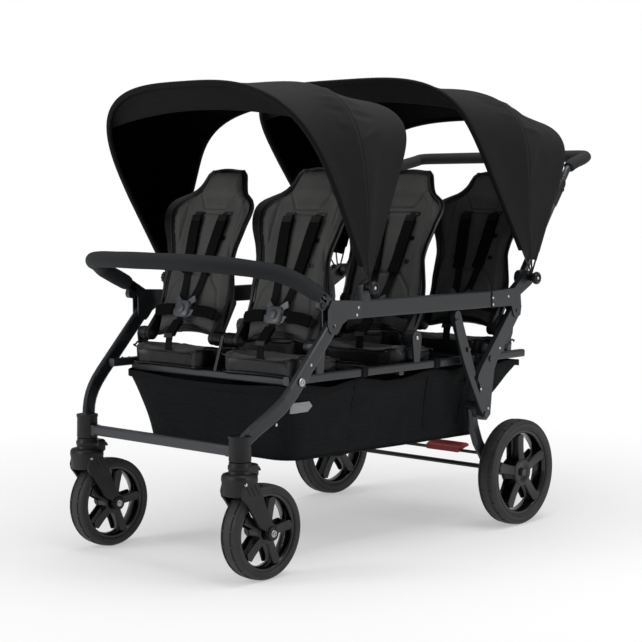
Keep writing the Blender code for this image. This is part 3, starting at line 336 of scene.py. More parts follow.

# Wheels: a one-piece nylon rim with five broad dished paddles over narrower webs, its barrel polished in the
# mould and, with the hub and webs, painted darker than the paddles as painted shade deep in the wheel, and a
# foamed rubber tyre pressed over it, with a row of long shallow pockets beside each shoulder.
# Two large ones at the back run on the axle bar, two small ones at the front run in the casters.


def moulded(name, code, rough=0.42, grain=380.0, depth=0.1, shine=0.5):
    """Moulded plastic: spark-eroded mould texture of about a quarter millimetre, with faint flow clouds."""
    made, tree, shader, place = new_material(name)
    fine = node(tree, "TexNoise", Vector=place, Scale=grain * 6, Detail=2.0)
    cloud = node(tree, "TexNoise", Vector=place, Scale=22.0, Detail=3.0)
    flow = node(tree, "MapRange", cloud, 0.3, 0.7, 0.9, 1.12)
    feed(tree, shader, Base_Color=node(tree, "HueSaturation", Color=srgb(code), Value=flow),
         Roughness=node(tree, "MapRange", cloud, 0.3, 0.7, rough - 0.06, rough + 0.08),
         Normal=node(tree, "Bump", Strength=depth, Distance=0.0004, Height=fine), Specular_IOR_Level=shine)
    return made


NYLON = moulded("glass_filled_nylon", "#0b0b0c", 0.32, 380.0, 0.1, 0.4)
# The barrel, hub and webs: the same nylon, glossier, and painted darker as painted shade deep between the
# paddles.
NYLON_PAINTED_SHADE = moulded("polished_nylon_painted_shade", "#060607", 0.2, 380.0, 0.04)
FORK = moulded("fork_nylon", "#101113", 0.46, 380.0, 0.14, 0.3)
RUBBER = moulded("foamed_rubber_tyre", "#222224", 0.62, 240.0, 0.25)

# Zinc plating, for the bolts and rivets: a bright metal with a fine cloudy scuff that greys it a little.
CHROME, tree, shader, place = new_material("zinc_plated_steel")
scuff = node(tree, "TexNoise", Vector=place, Scale=900.0, Detail=3.0)
feed(tree, shader, Metallic=1.0, Roughness=0.28,
     Base_Color=node(tree, "MixRGB", scuff, srgb("#c4c6c8"), srgb("#8f9294")))

# A tyre's half profile: its side wall as (in from the side, out from the rim), and its tread as (in from the
# side, in from the outside, 1 where the pockets are cut). POCKETS places their ends along one block.
WALL = ((1.6, 3.0), (0.5, 5.2), (0.4, 7.0), (1.6, 8.0), (0.3, 9.2))
TREAD = ((0, 15, 0), (0, 11.8, 0), (1.3, 10.8, 0), (0.4, 9.7, 0), (1, 6.8, 0), (3, 4, 0), (6.2, 2, 0),
         (7.8, 1.4, 0), (8.8, 1.2, 1), (18, 0.3, 1), (19, 0.2, 0))
POCKETS = ((0.0, 0), (0.085, 0), (0.112, 1), (0.33, 1), (0.56, 1), (0.78, 1), (0.973, 1))
POCKET_DEEP = 2.8
BLOCK = 40


def past(value, start, end):
    """0 until value gets from start towards end, 1 at end, and more past it."""
    return max(0.0, (value - start) / (end - start))


def spokes(lean):
    """The way out along each of five spokes, and the way across it."""
    for i in range(5):
        a = lean + math.tau * i / 5
        yield Vector((0, math.cos(a), math.sin(a))), Vector((0, -math.sin(a), math.cos(a)))


def spoke_wheel(name, body, x, y, radius, width, rim_radius, hub_radius, lean):
    """Barrel, hub and webs as one moulding, then the paddles' faces and the tyre."""
    centre = Vector((x, y, radius))
    half = width / 2
    band = half - 6.5
    cap = half - 3.5
    inner = rim_radius - 8.5
    size = rim_radius / 121
    bm = bmesh.new()
    lip = [(band, rim_radius), (band, inner + 3.0), (band - 1.5, inner + 1.2), (3, inner - 3.0)]
    turned(bm, centre, ALONG_X, [(-d, r) for d, r in lip] + lip[::-1], 80, False, True)
    turned(bm, centre, ALONG_X, [(8 - cap, hub_radius * 0.94), (cap - 8, hub_radius * 0.94)], 48)
    root = hub_radius * 0.7
    for out, across in spokes(lean):
        rings = []
        for k in range(7):
            t = k / 6
            w = (6.2 + 5.0 * past(t, 0.75, 1)) * size**0.5
            section = rounded_rect(2 * w, 2 * (cap - 7.5 - 3 * t), 3, 3)
            rings.append(around(centre + out * (root + (inner - root) * t), across, ALONG_X, section))
        ring_rows(bm, rings)
    # The moulding takes the darker nylon: painted shade in the barrel and behind the paddles.
    piece(f"{name}_moulding", bm, body, "plastic", NYLON_PAINTED_SHADE, f"{name}_rim")

    bm = bmesh.new()
    disc = hub_radius * 0.985
    root = hub_radius * 0.86
    for s in (-1, 1):
        turned(bm, centre, (s, 0, 0),
               [(cap - 9, disc), (cap - 2.2, disc), (cap - 0.4, disc - 1.8), (cap, disc - 4.2),
                (cap - 0.6, disc * 0.55), (cap - 2, disc * 0.5)], 56)
        for out, across in spokes(lean):
            rings = []
            for k in range(15):
                t = k / 14
                d = root + (inner + 0.6 - root) * t
                w = (13 + 2 * t) * size**0.7 * math.sqrt(max(0.02, 1 - past(t, 0.86, 1) ** 2.4))
                face = cap - 4.6 - 2 * math.sin(math.pi * t)
                dished = [(u, v - (1.1 * (1 - (u / w) ** 2) if v > 2 else 0.0))
                          for u, v in rounded_rect(2 * w, 6.8, min(w * 0.6, 2.6), 4)]
                rings.append([centre + out * d + across * u + ALONG_X * (s * (face + v)) for u, v in dished])
            ring_rows(bm, rings)
        turned(bm, centre, (s, 0, 0),
               [(cap - 4, hub_radius * 0.3), (cap - 0.6, hub_radius * 0.3), (cap, hub_radius * 0.26)], 32)
    piece(f"{name}_paddles", bm, body, "plastic", NYLON)

    blocks = round(math.tau * radius / BLOCK)
    profile = [(band + 0.6, rim_radius + 0.2, 0)] + [(half - d, rim_radius + r, 0) for d, r in WALL]
    profile += [(half - d, radius - r, cut) for d, r, cut in TREAD]
    profile += [(0, radius, 0)] + [(-d, r, cut) for d, r, cut in profile[::-1]]
    rows = []
    for i in range(blocks):
        for at, cut in POCKETS:
            a = math.tau * (i + at) / blocks
            ring = [(d, r - POCKET_DEEP * cut * deep) for d, r, deep in profile]
            rows.append([centre + Vector((d, r * math.cos(a), r * math.sin(a))) for d, r in ring])
    bm = bmesh.new()
    ring_rows(bm, rows, True)
    piece(f"{name}_rubber", bm, body, "tyre", RUBBER, f"{name}_tyre", angle=40)


for side, s in SIDES:
    spoke_wheel(f"rear_{side}", f"rear_wheel_{side}", s * 359.5, 493.6, 153, 58, 121, 40, 1.65)
    spoke_wheel(f"front_{side}", f"front_wheel_{side}", s * 290, -493.6, 120, 56, 97, 30, 1.35)

# Canopies: two polyester hoods, each one skin of cloth over three spring steel wires, sewn round the middle
# wire and bound with tape along both mouths. The skin narrows to the pivot on each side, dips between the
# wires and puckers beside the middle seam, and a stiffened peak is folded in under the front mouth.


def woven(name, code, spacing, rough, fuzz, depth, streak=0.12, shine=0.12):
    """Plain-weave polyester. The real threads lie 0.4 mm apart and are drawn coarser here, so that they show;
    the yarns' uneven dye gives faint clouds, and the fibres a soft sheen where the cloth turns away."""
    made, tree, shader, place = new_material(name)
    scaled = node(tree, "VectorMath", place, operation="SCALE", Scale=math.tau / (2 * spacing * MM))
    apart = node(tree, "SeparateXYZ", scaled).outputs
    waves = [node(tree, "Math", apart[i], operation="SINE") for i in range(3)]
    pairs = [node(tree, "Math", waves[i], waves[(i + 1) % 3], operation="MULTIPLY") for i in range(3)]
    first = node(tree, "Math", pairs[0], pairs[1], operation="ADD")
    weave = node(tree, "Math", first, pairs[2], operation="ADD")
    cloud = node(tree, "TexNoise", Vector=place, Scale=14.0, Detail=5.0, Roughness=0.6)
    fibre = node(tree, "TexNoise", Vector=place, Scale=520.0, Detail=3.0)
    shade = node(tree, "MapRange", weave, -1.0, 1.0, 1 - streak, 1 + streak)
    dye = node(tree, "MapRange", cloud, 0.3, 0.7, 0.9, 1.12)
    value = node(tree, "Math", shade, dye, operation="MULTIPLY")
    height = node(tree, "Math", weave, fibre, operation="ADD")
    feed(tree, shader, Base_Color=node(tree, "HueSaturation", Color=srgb(code), Value=value),
         Roughness=node(tree, "MapRange", fibre, 0.3, 0.7, rough - 0.07, rough + 0.07),
         Normal=node(tree, "Bump", Strength=depth, Distance=spacing * MM * 0.5, Height=height),
         Specular_IOR_Level=shine, Sheen_Weight=fuzz, Sheen_Roughness=0.45, Sheen_Tint=srgb("#9a9a9c"))
    return made


# One cloth in two copies: the rear panels' copy is painted lighter and the front panels' darker, as painted
# light on the rear panels and painted shade on the front ones.
HOOD = woven("polyester_oxford", "#161617", 1.1, 0.82, 0.05, 0.25)
HOOD_PAINTED_LIGHTER = woven("polyester_oxford_painted_lighter", "#1c1c1d", 1.1, 0.82, 0.05, 0.25)
# The lining is black cloth made near-zero in colour and gloss, as painted shade for the dark inside of each
# hood; the middle wire's hem wears it too, with the same painted shade.
LINING_PAINTED_SHADE = woven("polyester_lining_painted_shade", "#010101", 1.1, 0.95, 0.0, 0.2, 0.12, 0.02)
TAPE = woven("polyester_binding_tape", "#0c0c0d", 1.4, 0.75, 0.04, 0.3)

# Spring wire, blackened in oil: dark, half metallic, its gloss streaked by the drawing die.
WIRE, tree, shader, place = new_material("blackened_spring_wire")
drawn = node(tree, "TexNoise", Vector=place, Scale=300.0)
feed(tree, shader, Base_Color=srgb("#18181a"), Metallic=0.7,
     Roughness=node(tree, "MapRange", drawn, 0.0, 1.0, 0.3, 0.5))

# Each hood's pivot (y, z), then its front, middle and rear wires as (tilt in degrees, height, shoulder's
# height, squareness of the arch). The wires' widths and the places of their eyes are the same in both hoods.
WIRES = ("front", "middle", "rear")
BOW_SPREAD = (390, 386, 382)
EYES = (376.3, 370.2, 369.7)
HOODS = {"front_canopy": ((-187, 716), ((30.1, 599, 265, 3.1), (6.1, 532, 180, 3.8), (-20.2, 528, 350, 2.8))),
         "rear_canopy": ((540, 715), ((36.7, 695, 420, 3.8), (7.3, 553, 335, 2.9), (-23.2, 519, 325, 2.9)))}
# Creases as (start along, start across, end along, end across, depth, width as a share of the wire).
FRONT_FOLDS = ((0.3, 0.98, 0.33, 0.45, -4.0, 0.007), (0.345, 0.98, 0.365, 0.5, 4.2, 0.006),
               (0.265, 0.98, 0.285, 0.55, 3.4, 0.006))
REAR_FOLDS = ((0.235, 0.02, 0.27, 0.72, 6.6, 0.006), (0.3, 0.02, 0.285, 0.8, -5.0, 0.007),
              (0.345, 0.02, 0.33, 0.6, 5.2, 0.006), (0.17, 0.05, 0.22, 0.5, 4.0, 0.008),
              (0.4, 0.03, 0.42, 0.5, 3.4, 0.009))


def bow_half(spread, height, shoulder, square, eye_x, count=46):
    """Half of a wire in its own plane, as (x, height): an arm up to the shoulder, then a squarish arch."""
    points = [(eye_x, 4.5)]
    points += [(eye_x + (spread - eye_x) * i / 24, shoulder * i / 24) for i in range(1, 24)]
    for i in range(count + 1):
        a = math.pi / 2 * i / count
        points.append((spread * math.cos(a) ** (2 / square),
                       shoulder + (height - shoulder) * math.sin(a) ** (2 / square)))
    return points


def hinged(hub, tilt, x, h):
    """A point h up and x across in the plane of a wire that leans back by tilt from its pivot."""
    t = math.radians(tilt)
    return Vector((x, hub[0] - h * math.sin(t), hub[1] + h * math.cos(t)))


def open_rows(bm, rows):
    """Joins rows of points into a sheet."""
    rows = spots(bm, rows)
    for a, b in zip(rows, rows[1:]):
        for j in range(len(a) - 1):
            bm.faces.new((a[j], a[j + 1], b[j + 1], b[j]))


def doubled(sheet, name, thickness):
    """Gives a sheet the thickness of its cloth."""
    step = sheet.modifiers.new(name, "SOLIDIFY")
    step.thickness = thickness * MM
    step.offset = 0.0
    return step


def skin(name, first, second, folds, look, steps=20, trim=4):
    """Cloth drawn over two wires, dipping between them, with its creases fading at the seams."""
    centre = (first[0] + first[-1]) / 2
    last = len(first) - 1
    rows = []
    for i in range(trim, last + 1 - trim):
        across = second[i] - first[i]
        s = i / last
        row = []
        for j in range(steps + 1):
            t = j / steps
            along = (first[i + 1] - first[i - 1]) * (1 - t) + (second[i + 1] - second[i - 1]) * t
            n = along.cross(across).normalized()
            p = first[i] + across * t
            if n.dot(p - centre) < 0:
                n = -n
            fold = 0.0
            for s0, t0, s1, t1, depth, wide in folds:
                for sa, sb in ((s0, s1), (1 - s0, 1 - s1)):
                    run = Vector((sb - sa, (t1 - t0) * 0.22))
                    off = Vector((s - sa, (t - t0) * 0.22))
                    k = max(0.0, min(1.0, off.dot(run) / run.length_squared))
                    gap = (off - run * k).length
                    fold += depth * math.exp(-(gap / wide) ** 2) * math.sin(math.pi * min(1, k + 0.25))
            belly = math.sin(math.pi * t)
            ripple = 1.2 * noise.noise(Vector((s * 9, t * 3, 4.1))) * belly
            sewn = min(1.0, 7 * min(t, 1 - t))
            row.append(p + n * (4.6 - 0.024 * across.length * belly + fold * sewn + ripple))
        rows.append(row)
    bm = bmesh.new()
    open_rows(bm, rows)
    bmesh.ops.recalc_face_normals(bm, faces=bm.faces)
    if sum(f.normal.dot(f.calc_center_median() - centre * MM) for f in bm.faces) < 0:
        bmesh.ops.reverse_faces(bm, faces=bm.faces)
    mesh = bpy.data.meshes.new(name)
    bm.to_mesh(mesh)
    bm.free()
    mesh.shade_smooth()
    area = sum(face.area for face in mesh.polygons)
    mesh.transform(Matrix.Translation((0, -MIDDLE * MM, 0)))
    mesh.materials.append(look)
    mesh.materials.append(LINING_PAINTED_SHADE)
    sheet = added(name, mesh)
    ply = doubled(sheet, "cloth_and_lining", 1.6)
    ply.material_offset = 1
    ply.material_offset_rim = 1
    return sheet, area


for hood, (hub, bows) in HOODS.items():
    paths = []
    for k, (label, (tilt, *bow)) in enumerate(zip(WIRES, bows)):
        half = [hinged(hub, tilt, x, h) for x, h in bow_half(BOW_SPREAD[k], *bow, EYES[k])]
        path = half + mirrored(half[:-1])
        paths.append(path)
        radius = (5.8, 5.0, 5.2)[k]
        section = rounded_rect(2 * radius, 2 * radius * (1.35 if k == 0 else 1), radius * 0.9, 4)
        bm = bmesh.new()
        swept(bm, path[6:-6], section, (0, math.cos(math.radians(tilt)), math.sin(math.radians(tilt))))
        piece(f"{hood}_{label}_hem", bm, f"{hood}_{label}", "canopy_cloth", TAPE if k != 1 else LINING_PAINTED_SHADE)
        refinish(f"{hood}_{label}_bow", WIRE)
    for k, label, folds, look in ((0, "front", FRONT_FOLDS, HOOD), (1, "rear", REAR_FOLDS, HOOD_PAINTED_LIGHTER)):
        cloth, area = skin(f"{hood}_{label}_skin", paths[k], paths[k + 1], folds, look)
        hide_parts(f"{hood}_{label}_panel")
        start, end = (hinged((hub[0] - MIDDLE, hub[1]), bows[i][0], 0, 350) * MM for i in (k + 1, k))
        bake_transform(cloth)
    tilt, top = bows[0][:2]
    arch = [(x, h) for x, h in bow_half(BOW_SPREAD[0], *bows[0][1:], EYES[0], 40) if h > top - 122]
    rows = []
    for s, run in ((1, arch), (-1, arch[-2::-1])):
        for x, h in run:
            drop = max(h - (top - 80 - 40 * (x / 370) ** 2), 1)
            rows.append([hinged(hub, tilt - 0.55 - math.sin(math.pi * t * 0.5) - 0.6 * t,
                                s * (x - 4 * t), h - 4.5 - drop * t) for t in (j / 6 for j in range(7))])
    bm = bmesh.new()
    open_rows(bm, rows)
    peak = piece(f"{hood}_folded_peak", bm, f"{hood}_front", "canopy_cloth", TAPE)
    doubled(peak, "stiffened_cloth", 2.4)

# Seat backs: a moulded shell with wings at the shoulders, a foam pad in grey polyester sewn with black
# piping, and a five-point harness through slots in both. They turn on the row hubs. The pad is puffed by a
# short cloth simulation, once for all six, and the seams are pressed in after it.
SEAT_X = 174
HUB_Z = 569
ROWS = {"front": -328, "middle": 60.5, "rear": 449}
LEAN = math.radians(20.5)
# Half widths of the shell and of the pad up the back, as (up from the hub, half width).
SHELL_EDGE = ((0, 128), (30, 134), (80, 142), (150, 141), (190, 135), (225, 130), (260, 138), (300, 155),
              (345, 168), (368, 168), (386, 157), (398, 140), (409, 118), (420, 103), (445, 87), (475, 76),
              (487, 66), (494, 48))
PAD_EDGE = ((0, 118), (30, 124), (80, 131), (150, 130), (190, 124), (225, 119), (260, 126), (300, 140),
            (345, 152), (366, 152), (383, 142), (396, 125), (409, 104), (421, 91), (445, 76), (473, 66),
            (484, 55))
WING_RISE = ((0, 0.0), (120, 0.0), (230, 0.6), (320, 1.0), (385, 0.78), (430, 0.2), (494, 0.12))
BACK_SEAMS = (((108, 398), (106, 335), (101, 255), (112, 205)),
              ((-108, 398), (-106, 335), (-101, 255), (-112, 205)),
              ((-88, 440), (-70, 413), (-43, 370), (43, 370), (70, 413), (88, 440)), ((-52, 356), (52, 356)),
              ((-112, 30), (-88, 135), (-50, 178), (50, 178), (88, 135), (112, 30)))
PAD = woven("grey_polyester_seat_cloth", "#4e4e4d", 1.3, 0.85, 0.1, 0.35)
VINYL = moulded("black_seat_vinyl", "#08080a", 0.36, 160.0, 0.12, 0.3)
COVER = woven("black_neoprene", "#050607", 1.2, 0.85, 0.02, 0.3, 0.1, 0.1)
SHELL = moulded("polypropylene_seat_shell", "#121214", 0.4, 300.0, 0.16)
WEBBING = woven("polyester_webbing", "#08090c", 2.2, 0.7, 0.03, 0.5, 0.2)
BUCKLE_GREY = moulded("acetal_buckle", "#43464b", 0.38, 500.0, 0.08)
CLIP_BLACK = moulded("acetal_clips", "#0c0c0e", 0.4, 500.0, 0.08, 0.3)


def eased(table, width=5):
    """Reads a table of (place, size) pairs with its corners rounded."""
    xs = np.linspace(table[0][0], table[-1][0], 160)
    ys = np.interp(xs, [a for a, _ in table], [b for _, b in table])
    padded = np.concatenate([[ys[0]] * (width // 2), ys, [ys[-1]] * (width // 2)])
    ys = np.convolve(padded, np.ones(width) / width, "valid")
    return lambda x: float(np.interp(x, xs, ys))


shell_half, pad_half, wing_rise = eased(SHELL_EDGE), eased(PAD_EDGE), eased(WING_RISE, 13)


def wing(p, u):
    """How far the shell's wings stand forward, p across and u up."""
    return 48 * wing_rise(u) * past(abs(p) / shell_half(u), 0.5, 1) ** 1.5


def pad_face(p, u):
    q = p / pad_half(u)
    crown = 10 * (1 - q * q) * math.sin(math.pi * min(1.0, 0.12 + u / 500 * 0.9))
    head = 8 * min(1.0, past(u, 400, 420)) * (1 - q * q)
    return wing(p, u) - 10 + crown + head


def back_pad_at(t, q):
    """The pad's face and its back, t of the way up and q of the half width across."""
    arch = 6 + 24 * (1 - q * q)
    u = arch + (484 - 4 * q * q - arch) * t
    p = q * (pad_half(u) - 3)
    edge = past(abs(q), 0.8, 1) ** 2 + past(abs(2 * t - 1), 0.93, 1) ** 2
    return (p, u, pad_face(p, u) - 4 * min(1.0, edge)), (p, u, wing(p, u) - 26)


def back_shell_at(t, q):
    """The shell's face and its ribbed back, at the same shares."""
    arch = 22 * (1 - q * q)
    u = arch + (494 - 6 * q * q - arch) * t
    p = q * shell_half(u)
    turn_in = 4 * past(abs(q), 0.9, 1)
    w = wing(p, u) - 20 + turn_in
    ribs = 3 * math.exp(-((abs(p) - 50) / 6) ** 2) * min(1.0, past(u, 440, 410))
    return (p, u, w), (p, u, w - 8 - 8 * (1 - q * q) - ribs + turn_in)


def slab(bm, both, rows, columns):
    """A closed pad between two grids of points, from both(t, q); gives the edges of its two faces."""
    pairs = [[both(i / rows, 2 * j / columns - 1) for j in range(columns + 1)] for i in range(rows + 1)]
    tops, lows = ([[pair[k] for pair in row] for row in pairs] for k in (0, 1))
    up, down = spots(bm, tops), spots(bm, lows)
    for i in range(rows):
        for j in range(columns):
            bm.faces.new((up[i][j], up[i][j + 1], up[i + 1][j + 1], up[i + 1][j]))
            bm.faces.new((down[i][j], down[i + 1][j], down[i + 1][j + 1], down[i][j + 1]))
    edge = [(0, j) for j in range(columns + 1)] + [(i, columns) for i in range(1, rows + 1)]
    edge += [(rows, j) for j in range(columns - 1, -1, -1)] + [(i, 0) for i in range(rows - 1, 0, -1)]
    for (a, b), (c, d) in zip(edge, edge[1:] + edge[:1]):
        bm.faces.new((up[a][b], down[a][b], down[c][d], up[c][d]))
    return [tops[a][b] for a, b in edge], [lows[a][b] for a, b in edge]


def applied(made):
    """Makes what a piece's modifiers show its own mesh."""
    graph = bpy.context.evaluated_depsgraph_get()
    mesh = bpy.data.meshes.new_from_object(made.evaluated_get(graph))
    made.modifiers.clear()
    made.data = mesh
    return mesh


def columns_of(mesh, kind):
    values = np.empty(len(mesh.vertices) * 3)
    mesh.vertices.foreach_get(kind, values)
    return values.reshape(-1, 3)


def puffed(made, voxel, cap):
    """Remeshes a pad, lets air swell it, no point further than cap, and then makes its mesh finer."""
    step = made.modifiers.new("even_mesh", "REMESH")
    step.mode = "VOXEL"
    step.voxel_size = voxel * MM
    mesh = applied(made)
    before = columns_of(mesh, "co")
    swell = made.modifiers.new("swell", "CLOTH")
    swell.settings.use_pressure = True
    swell.settings.uniform_pressure_force = 4.0
    swell.settings.effector_weights.gravity = 0.0
    swell.settings.quality = 4
    swell.settings.tension_stiffness = 12
    swell.settings.compression_stiffness = 12
    swell.point_cache.frame_end = 24
    for number in range(1, 21):
        bpy.context.scene.frame_set(number)
    mesh = applied(made)
    bpy.context.scene.frame_set(1)
    moved = columns_of(mesh, "co") - before
    far = np.linalg.norm(moved, axis=1, keepdims=True)
    moved = moved * np.minimum(1.0, cap * MM / np.maximum(far, 1e-9))
    mesh.vertices.foreach_set("co", (before + moved).ravel())
    mesh.update()
    finer = made.modifiers.new("finer", "SUBSURF")
    finer.levels = finer.render_levels = 1
    return applied(made)


def two_tone(mesh, in_vinyl):
    """Covers a pad in its cloth, and in vinyl where in_vinyl says so of a face."""
    mesh.materials.clear()
    mesh.materials.append(PAD)
    mesh.materials.append(VINYL)
    for face in mesh.polygons:
        face.material_index = int(in_vinyl(face))
        face.use_smooth = True


def seam_gap(x, y, lines):
    """How far a point lies from the nearest of some sewn lines."""
    best = 1000.0
    for line in lines:
        for (xa, ya), (xb, yb) in zip(line, line[1:]):
            dx, dy = xb - xa, yb - ya
            k = max(0.0, min(1.0, ((x - xa) * dx + (y - ya) * dy) / (dx * dx + dy * dy)))
            best = min(best, math.hypot(x - xa - k * dx, y - ya - k * dy))
    return best


def piping(bm, loop, section, upright=False):
    """A cord or tape sewn along a closed edge."""
    rings = []
    for k, point in enumerate(loop):
        t = (loop[(k + 1) % len(loop)] - loop[k - 1]).normalized()
        out = t.cross(UP).normalized()
        rings.append(around(point, out, UP if upright else out.cross(t), section))
    ring_rows(bm, rings, True)


def ribbon(bm, points, width, thick, steps=5, ref=ALONG_X):
    """A flat strap along a path, with rolled edges."""
    edge = ((1, 0.3), (0.97, 1), (0.5, 1), (0, 1), (-0.5, 1), (-0.97, 1), (-1, 0.3), (-1, -0.3), (-0.97, -1),
            (-0.5, -1), (0, -1), (0.5, -1), (0.97, -1), (1, -0.3))
    swept(bm, through(points, steps), [(width / 2 * a, thick / 2 * b) for a, b in edge], ref)


def stacked(bm, centre, section, levels):
    """A block on a flat face: its outline at each level's height, grown by that level's share."""
    x, y, z = centre
    ring_rows(bm, [[(x + a * k, y + b * k, z + d) for a, b in section] for d, k in levels])


bm = bmesh.new()
brim, _ = slab(bm, back_pad_at, 44, 28)
back_pad = from_mesh("back_pad_pattern", bm)
mesh = puffed(back_pad, 5, 6)
for vert in mesh.vertices:
    p, u, w = vert.co / MM
    if w > wing(p, u) - 18:
        gap = seam_gap(p, u, BACK_SEAMS)
        notch = 6 * math.exp(-((p / 7) ** 2 + ((u - 487) / 10) ** 2))
        wrinkle = 1.2 * noise.noise(Vector((p * 0.028, u * 0.022, 2.0))) * min(1.0, gap / 20)
        vert.co.z += (wrinkle - 4.2 * math.exp(-(gap / 4.2) ** 2) - notch) * MM


def back_edge_face(face):
    p, u, w = face.center / MM
    side = abs(p) > pad_half(min(max(u, 0.0), 484)) - 0.5 or face.normal.z < 0.15
    return side and w < pad_face(p, u) - 4


two_tone(mesh, back_edge_face)
shell_bm, cord_bm = bmesh.new(), bmesh.new()
slab(shell_bm, back_shell_at, 40, 26)
cord = [Vector((p * 1.012, u + (3 if u > 470 else -2 if u < 40 else 0), w + 1.5)) for p, u, w in brim]
piping(cord_bm, cord, circle(2.6, 8))
straps, covers, clips, buckles, slots = (bmesh.new() for _ in range(5))
for s in (1, -1):
    face = [pad_face(s * 50, u) for u in (352, 300, 220, 130)]
    run = [(s * 53, 353, face[0] - 6), (s * 53, 349, face[0] + 10), (s * 51, 335, face[0] + 14),
           (s * 47, 290, face[1] + 14), (s * 38, 210, face[2] + 12), (s * 28, 140, face[3] + 12),
           (s * 20, 92, 19)]
    ribbon(straps, run, 25, 1.8)
    ribbon(covers, [(x, y, z + 1) for x, y, z in run[2:5]] + [(s * 34, 178, face[2] + 16)], 36, 8.5)
    ribbon(clips, [(s * 51.5, 346, face[0] + 16), (s * 50.8, 328, face[0] + 18)], 34, 5)
    waist = [(s * 128, 56, 2), (s * 116, 62, 11), (s * 80, 68, 15), (s * 45, 69, 17), (s * 26, 69, 18)]
    ribbon(straps, waist, 25, 1.8, ref=(0, 1, 0))
    ribbon(covers, waist[1:4], 32, 6, ref=(0, 1, 0))
    for u in (354, 282, 214):
        stacked(slots, (s * 56, u, pad_face(s * 55, u)), rounded_rect(38, 13, 5),
                ((-6, 1), (4.5, 1), (5.8, 0.93)))
stacked(buckles, (0, 70, 14), rounded_rect(56, 50, 16, 6),
        ((0, 0.86), (2, 0.97), (9, 1), (13, 0.95), (15, 0.84)))
for s in (1, -1):
    for y, lean in ((94, 0.4), (62, -0.1)):
        tongue = [(s * 12, y - 10, 21), (s * 30, y + 12 * lean, 19), (s * 36, y + 20 * lean, 18)]
        ribbon(buckles, tongue, 18, 6, ref=(0, 1, 0))
turned(buckles, (0, 70, 28.5), UP, [(0, 13), (3, 13), (4.8, 11.2), (5.6, 6), (5.8, AXIS)], 28)
crotch = [(0, 54, 19), (0, 36, 25), (0, 10, 37), (0, -12, 43), (0, -30, 41), (0, -52, 35)]
ribbon(straps, crotch, 25, 1.8)
ribbon(covers, crotch[1:4], 34, 8)
ribbon(clips, [(0, -8, 48), (0, -20, 47.8)], 32, 5)
patterns = {}
for kind, bm, look, slot, angle in (
        ("back_shell", shell_bm, SHELL, "plastic", 50), ("back_piping", cord_bm, VINYL, "seat_cloth", 38),
        ("webbing", straps, WEBBING, "seat_cloth", 44), ("strap_covers", covers, COVER, "seat_cloth", 44),
        ("adjusters", clips, CLIP_BLACK, "plastic", 44), ("buckle", buckles, BUCKLE_GREY, "plastic", 44),
        ("strap_slots", slots, CLIP_BLACK, "plastic", 44)):
    patterns[kind] = (from_mesh(f"{kind}_pattern", bm, angle), look, slot)
along = Vector((0, math.sin(LEAN), math.cos(LEAN)))
front = Vector((0, -math.cos(LEAN), math.sin(LEAN)))
STAND = Matrix((ALONG_X, along, front)).transposed().to_4x4()


def fitted(pattern, name, place, body, look=None, turn=Matrix()):
    """A copy of a piece drawn flat, turned, set in its place and fixed to its body."""
    mesh = pattern.data.copy()
    mesh.transform(Matrix.Translation((Vector(place) - Vector((0, MIDDLE, 0))) * MM) @ turn)
    if look:
        mesh.materials.append(look)
    made = added(name, mesh)
    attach(made, body)
    return made


SEATS = [(f"{row}_{side}", s, y) for row, y in ROWS.items() for side, s in SIDES]
for label, s, y in SEATS:
    hub = Vector((s * SEAT_X, y, HUB_Z))
    pad = fitted(back_pad, f"{label}_back_pad", hub, f"back_{label}", turn=STAND)
    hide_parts(f"seat_back_{label}")
    for kind, (pattern, look, slot) in patterns.items():
        fitted(pattern, f"{label}_{kind}", hub, f"back_{label}", look, STAND)
    bm = bmesh.new()
    foot = hub + along * 110 - front * 30
    neck = hub + along * 20 - front * 12
    for k in (-1, 1):
        x = hub.x + k * 126
        plate(bm, round_link((hub.y, hub.z, 18), (neck.y, neck.z, 15), (foot.y, foot.z, 12)), x - 7, x + 7)
        turned(bm, (x - 9.5, hub.y, hub.z), ALONG_X, [(0, 11.5), (1.2, 14.8), (17.8, 14.8), (19, 11.5)],
               24, False)
    softened(piece(f"{label}_back_lugs", bm, f"back_{label}", "plastic", CLIP_BLACK), 1.2)
for pattern in [back_pad] + [pattern for pattern, _, _ in patterns.values()]:
    bpy.data.objects.remove(pattern)

# Seat bases: a plywood board under moulded foam, covered in the same grey cloth with a black vinyl band round
# the side and black piping along both edges. Raised at the front corners, dished behind, and bolted to the
# cross rails.
BASE_Z = 490.2
BASE_SEAMS = (((-104, -75), (-100, 20), (-104, 130)), ((104, -75), (100, 20), (104, 130)),
              ((-100, 30), (100, 30)))


def base_pad_at(t, q):
    """The cushion's face and its underside, t of the way back and q of the half width across."""
    side = abs(q)
    ahead_by = 57 + 11 * q * q - 20 * past(side, 0.86, 1) ** 2
    behind = 117 - 20 * past(side, 0.8, 1) ** 2
    y = -ahead_by + (ahead_by + behind) * t
    x = q * 140 * (1 - 0.06 * past(t, 0.25, 0) - 0.05 * past(t, 0.8, 1))
    bolster = 18 * side**3 * (1 - 0.45 * t)
    lip = 10 * past(t, 0.22, 0) ** 2 * (1 - side) - 4 * past(t, 0.08, 0) ** 2
    bowl = 12 * (1 - q * q) * math.sin(math.pi * min(1, t + 0.1))
    soft = 5 * (past(side, 0.9, 1) ** 2 + past(abs(2 * t - 1), 0.88, 1) ** 2)
    return (x, y, 47 + bolster + lip - bowl - 10 * t - soft), (x * 0.985, y * 0.99, 1.5)


